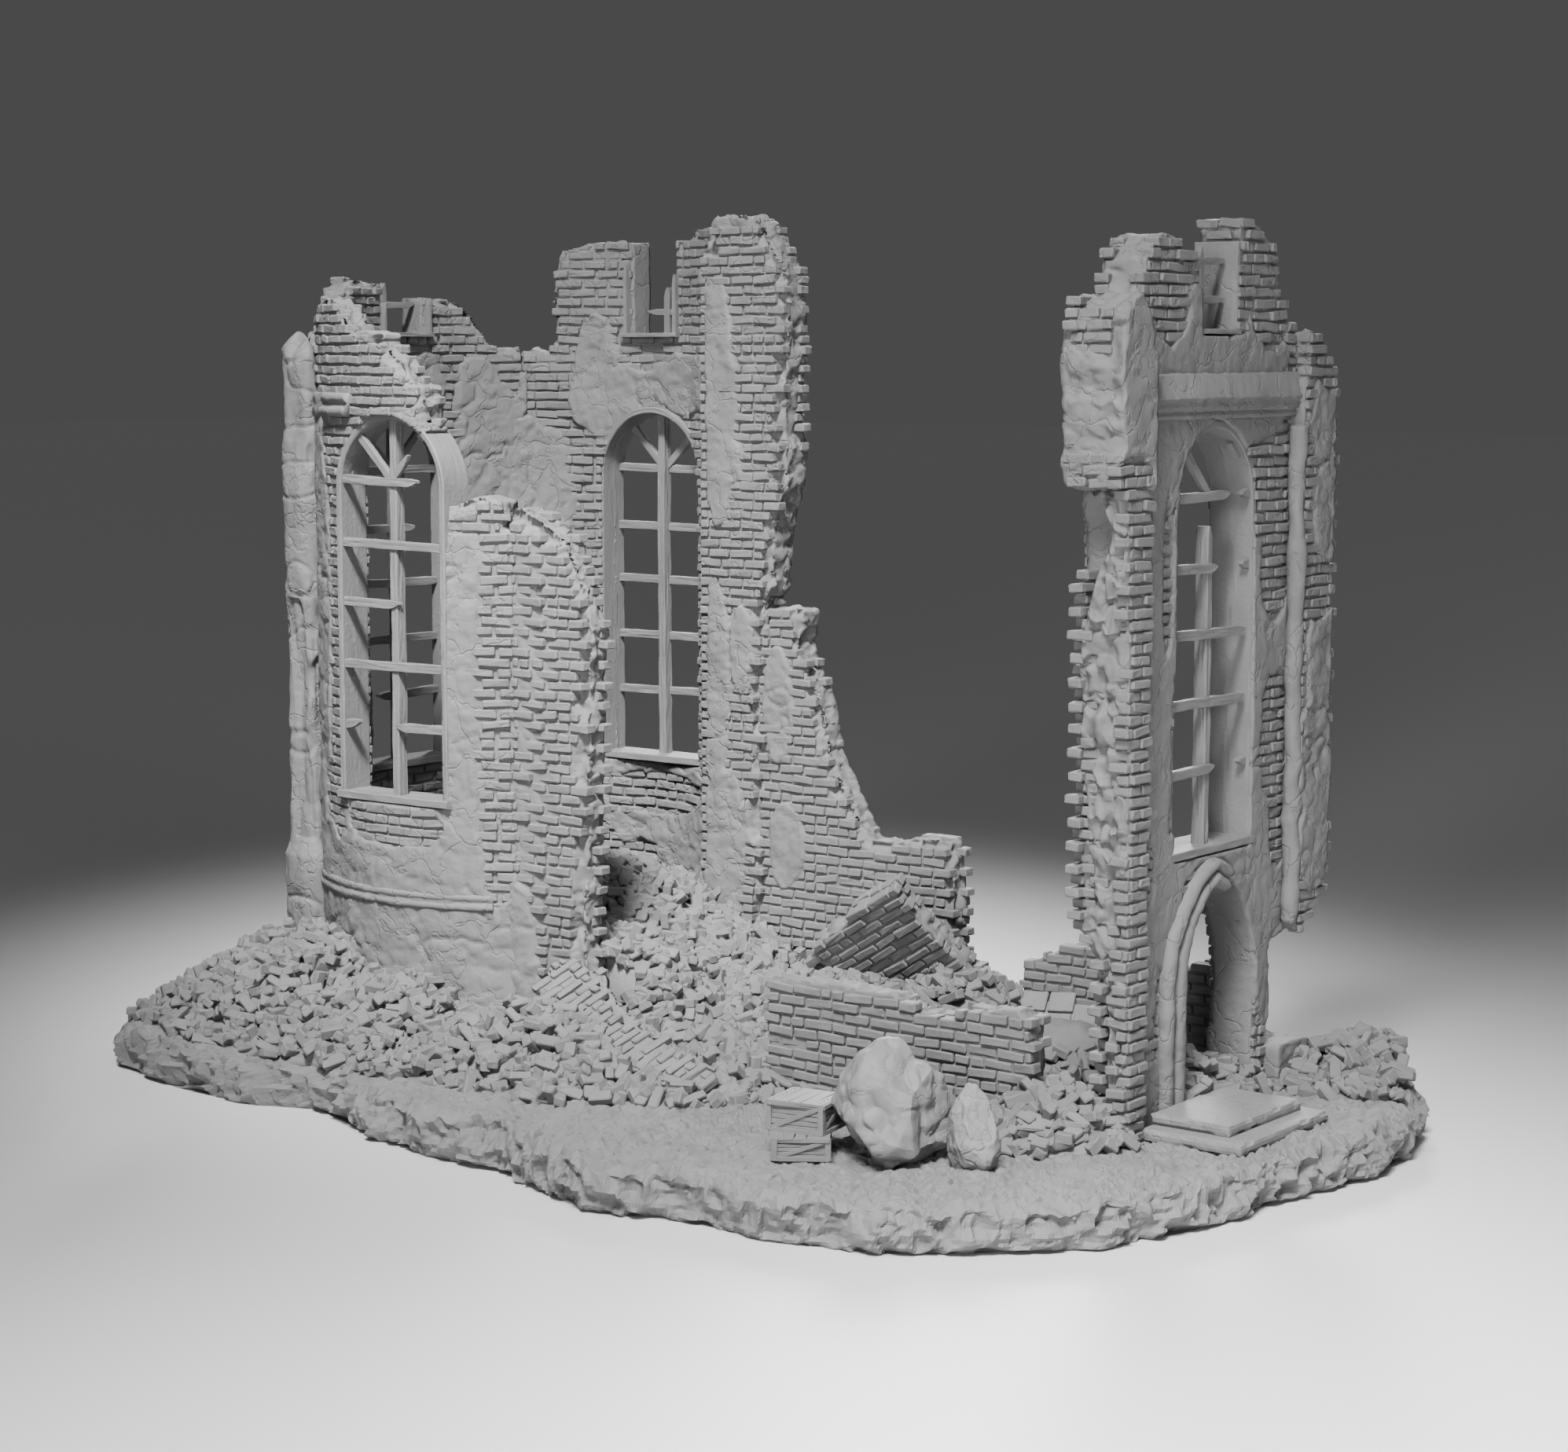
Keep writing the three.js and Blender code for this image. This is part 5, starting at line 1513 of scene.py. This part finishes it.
def rough_ground(points, out, levels):
    """Chunky rock on the rim, and pitted, cracked earth on top."""
    top = levels == 0
    side = np.clip((-levels + 0.6) / 3.0, 0.2, 1) * (levels > UNDERSIDE) * (levels < 0)
    chunk = fractal(points, 9, 310, octaves=2)
    facet = np.minimum(np.abs(noise(points * (1, 1, 1.3), 5.0, 313)), 0.5)
    chip = np.minimum(np.abs(noise(points, 2.6, 314)), 0.45)
    fine = noise(points, 1.7, 316)
    push = side[:, None] * (2.0 * chunk + 5.0 * (0.22 - facet) + 2.6 * (0.2 - chip) + 0.5 * fine)
    moved = points.copy()
    moved[..., :2] += out[None] * push[..., None]
    pits = np.minimum(np.abs(noise(points, 3.4, 322)), 0.45)
    pits = pits + 0.55 * np.minimum(np.abs(noise(points, 1.9, 323)), 0.45)
    earth = 0.9 * fractal(points, 12, 320) + 2.2 * (pits - 0.35) + 0.35 * noise(points, 1.4, 326)
    rim = np.exp(-((levels + 1.5) / 2.2) ** 2)[:, None] * (levels < 0)[:, None]
    share = np.clip((levels + 6.5) / 6.5, 0, 1)
    moved[..., 2] += np.where(top, 1.0, share)[:, None] * earth + 0.8 * rim * fractal(points, 6, 328)
    moved[..., 2] = np.clip(moved[..., 2], UNDERSIDE, 2.2)
    return moved


# ------------------------------------------------------------------ materials


def noise_texture(nodes, scale, detail):
    """A noise node of one scale and detail."""
    texture = nodes.new("ShaderNodeTexNoise")
    texture.inputs["Scale"].default_value = scale
    texture.inputs["Detail"].default_value = detail
    return texture


def hairlines(nodes, links, coordinates, spacing):
    """Thin wandering cracks: one at the crack's floor, falling to nothing at its edge."""
    bend = noise_texture(nodes, 1.6 / spacing, 4)
    shift = nodes.new("ShaderNodeVectorMath")
    shift.operation = "MULTIPLY_ADD"
    shift.inputs[1].default_value = (1.4 * spacing, 1.4 * spacing, 1.4 * spacing)
    cells = nodes.new("ShaderNodeTexVoronoi")
    cells.feature = "DISTANCE_TO_EDGE"
    cells.inputs["Scale"].default_value = 1 / spacing
    edge = nodes.new("ShaderNodeMapRange")
    edge.inputs["From Max"].default_value = 0.045
    edge.inputs["To Min"].default_value = 1.0
    edge.inputs["To Max"].default_value = 0.0
    links.new(coordinates.outputs["Object"], bend.inputs["Vector"])
    links.new(bend.outputs["Color"], shift.inputs[0])
    links.new(coordinates.outputs["Object"], shift.inputs[2])
    links.new(shift.outputs["Vector"], cells.inputs["Vector"])
    links.new(cells.outputs["Distance"], edge.inputs["Value"])
    return edge.outputs["Result"]


def resin(name, tone, roughness, grain, bump, cracks):
    """Matt grey casting resin: faint mottling, a fine surface grain and hairline cracks."""
    material = bpy.data.materials.new(name)
    material.use_nodes = True
    nodes, links = material.node_tree.nodes, material.node_tree.links
    shader = nodes["Principled BSDF"]
    shader.inputs["Specular IOR Level"].default_value = 0.35
    coordinates = nodes.new("ShaderNodeTexCoord")
    mottle = noise_texture(nodes, 90, 6)
    ramp = nodes.new("ShaderNodeValToRGB")
    ramp.color_ramp.elements[0].position = 0.3
    ramp.color_ramp.elements[1].position = 0.7
    ramp.color_ramp.elements[0].color = (0.9 * tone, 0.9 * tone, 0.9 * tone, 1)
    ramp.color_ramp.elements[1].color = (1.1 * tone, 1.1 * tone, 1.1 * tone, 1)
    fine = noise_texture(nodes, grain, 5)
    rough = nodes.new("ShaderNodeMapRange")
    rough.inputs["To Min"].default_value = roughness - 0.08
    rough.inputs["To Max"].default_value = roughness + 0.08
    height = nodes.new("ShaderNodeMath")
    height.operation = "MULTIPLY_ADD"
    height.inputs[1].default_value = -cracks
    relief = nodes.new("ShaderNodeBump")
    relief.inputs["Strength"].default_value = bump
    relief.inputs["Distance"].default_value = 0.0004
    links.new(coordinates.outputs["Object"], mottle.inputs["Vector"])
    links.new(coordinates.outputs["Object"], fine.inputs["Vector"])
    links.new(mottle.outputs["Fac"], ramp.inputs["Fac"])
    links.new(ramp.outputs["Color"], shader.inputs["Base Color"])
    links.new(fine.outputs["Fac"], rough.inputs["Value"])
    links.new(rough.outputs["Result"], shader.inputs["Roughness"])
    links.new(hairlines(nodes, links, coordinates, 0.013), height.inputs[0])
    links.new(fine.outputs["Fac"], height.inputs[2])
    links.new(height.outputs["Value"], relief.inputs["Height"])
    links.new(relief.outputs["Normal"], shader.inputs["Normal"])
    return material


MATERIALS = {
    "plaster": resin("plaster_resin", 0.13, 0.72, 420, 0.9, 0.45),
    "brick": resin("brick_resin", 0.13, 0.75, 700, 0.6, 0.1),
    "timber": resin("timber_resin", 0.135, 0.68, 900, 0.4, 0.1),
    "stone": resin("stone_resin", 0.155, 0.7, 380, 0.9, 0.3),
    "ground": resin("ground_resin", 0.135, 0.76, 420, 0.9, 0.2),
}

# ------------------------------------------------------------------ stage


def stage():
    """The pale floor and the grey backdrop, which are as bright as each other far away."""
    bpy.ops.mesh.primitive_plane_add(size=12, location=(0, 0, 0))
    floor = bpy.context.object
    floor.name = "studio_floor"
    material = bpy.data.materials.new("studio_floor_paint")
    material.use_nodes = True
    shader = material.node_tree.nodes["Principled BSDF"]
    shader.inputs["Base Color"].default_value = (0.5, 0.5, 0.5, 1)
    shader.inputs["Roughness"].default_value = 0.6
    floor.data.materials.append(material)

    world = bpy.data.worlds.new("studio")
    bpy.context.scene.world = world
    world.use_nodes = True
    background = world.node_tree.nodes["Background"]
    background.inputs["Color"].default_value = (0.074, 0.074, 0.074, 1)
    background.inputs["Strength"].default_value = 1.0


def lamp(name, place, target, size, power, spread):
    """A soft round lamp that looks at a target; spread is its beam in degrees."""
    data = bpy.data.lights.new(name, "AREA")
    data.shape = "DISK"
    data.size = size
    data.energy = power
    data.spread = math.radians(spread)
    holder = bpy.data.objects.new(name, data)
    bpy.context.scene.collection.objects.link(holder)
    holder.location = place
    holder.rotation_euler = (Vector(target) - Vector(place)).to_track_quat("-Z", "Y").to_euler()


def camera():
    """A long lens at table height, looking along the nave's open side from the door end."""
    data = bpy.data.cameras.new("camera")
    data.sensor_width = 36
    data.lens = 72.7
    data.clip_start = 0.01
    holder = bpy.data.objects.new("camera", data)
    bpy.context.scene.collection.objects.link(holder)
    holder.location = np.array([494.5, -621.5, 189.3]) * MM
    holder.rotation_euler = (math.radians(90 - 6.795), 0, math.radians(37.5))
    bpy.context.scene.camera = holder


def lights():
    """Soft studio light: most from the upper front, a little on the back."""
    lamp("key", (0.4, -0.66, 0.9), (0.29, -0.21, 0.05), 0.3, 3.2, 42)
    lamp("top", (0.46, -0.34, 0.9), (0.42, -0.27, 0), 0.35, 1.9, 56)
    lamp("apse", (0.24, -0.5, 0.9), (-0.05, -0.02, 0.15), 0.16, 0.75, 20)
    lamp("face", (0.36, -1.1, 0.32), (0.08, -0.05, 0.18), 0.4, 0.26, 20)
    lamp("fill", (1.0, -0.45, 0.4), (0.1, 0, 0.14), 0.5, 0.1, 30)
    lamp("rear", (-0.45, 0.8, 0.5), (0.0, 0.05, 0.14), 0.3, 0.42, 21)
    data = bpy.data.lights.new("evening", "SUN")
    data.energy = 0.232
    data.angle = math.radians(60)
    holder = bpy.data.objects.new("evening", data)
    bpy.context.scene.collection.objects.link(holder)


camera()
stage()
lights()
apse_walls()
nave_walls()
door_wall()
left_pilaster()
right_pilaster()
windows()
apse_mouldings()
apse_columns()
door_mouldings()
steps()
rock("boulder_large_stone", "boulder_large", 191, 16, 1.18, 0.86)
rock("boulder_small_stone", "boulder_small", 194, 12, 1.3, 0.55)
floor_tiles()
crate("crate_lower_slats", "crate_lower", 36, 185)
crate("crate_upper_slats", "crate_upper", 10.5, 186)
loose_planks()
fallen_walls()
rubble()
base()

bpy.context.view_layer.update()
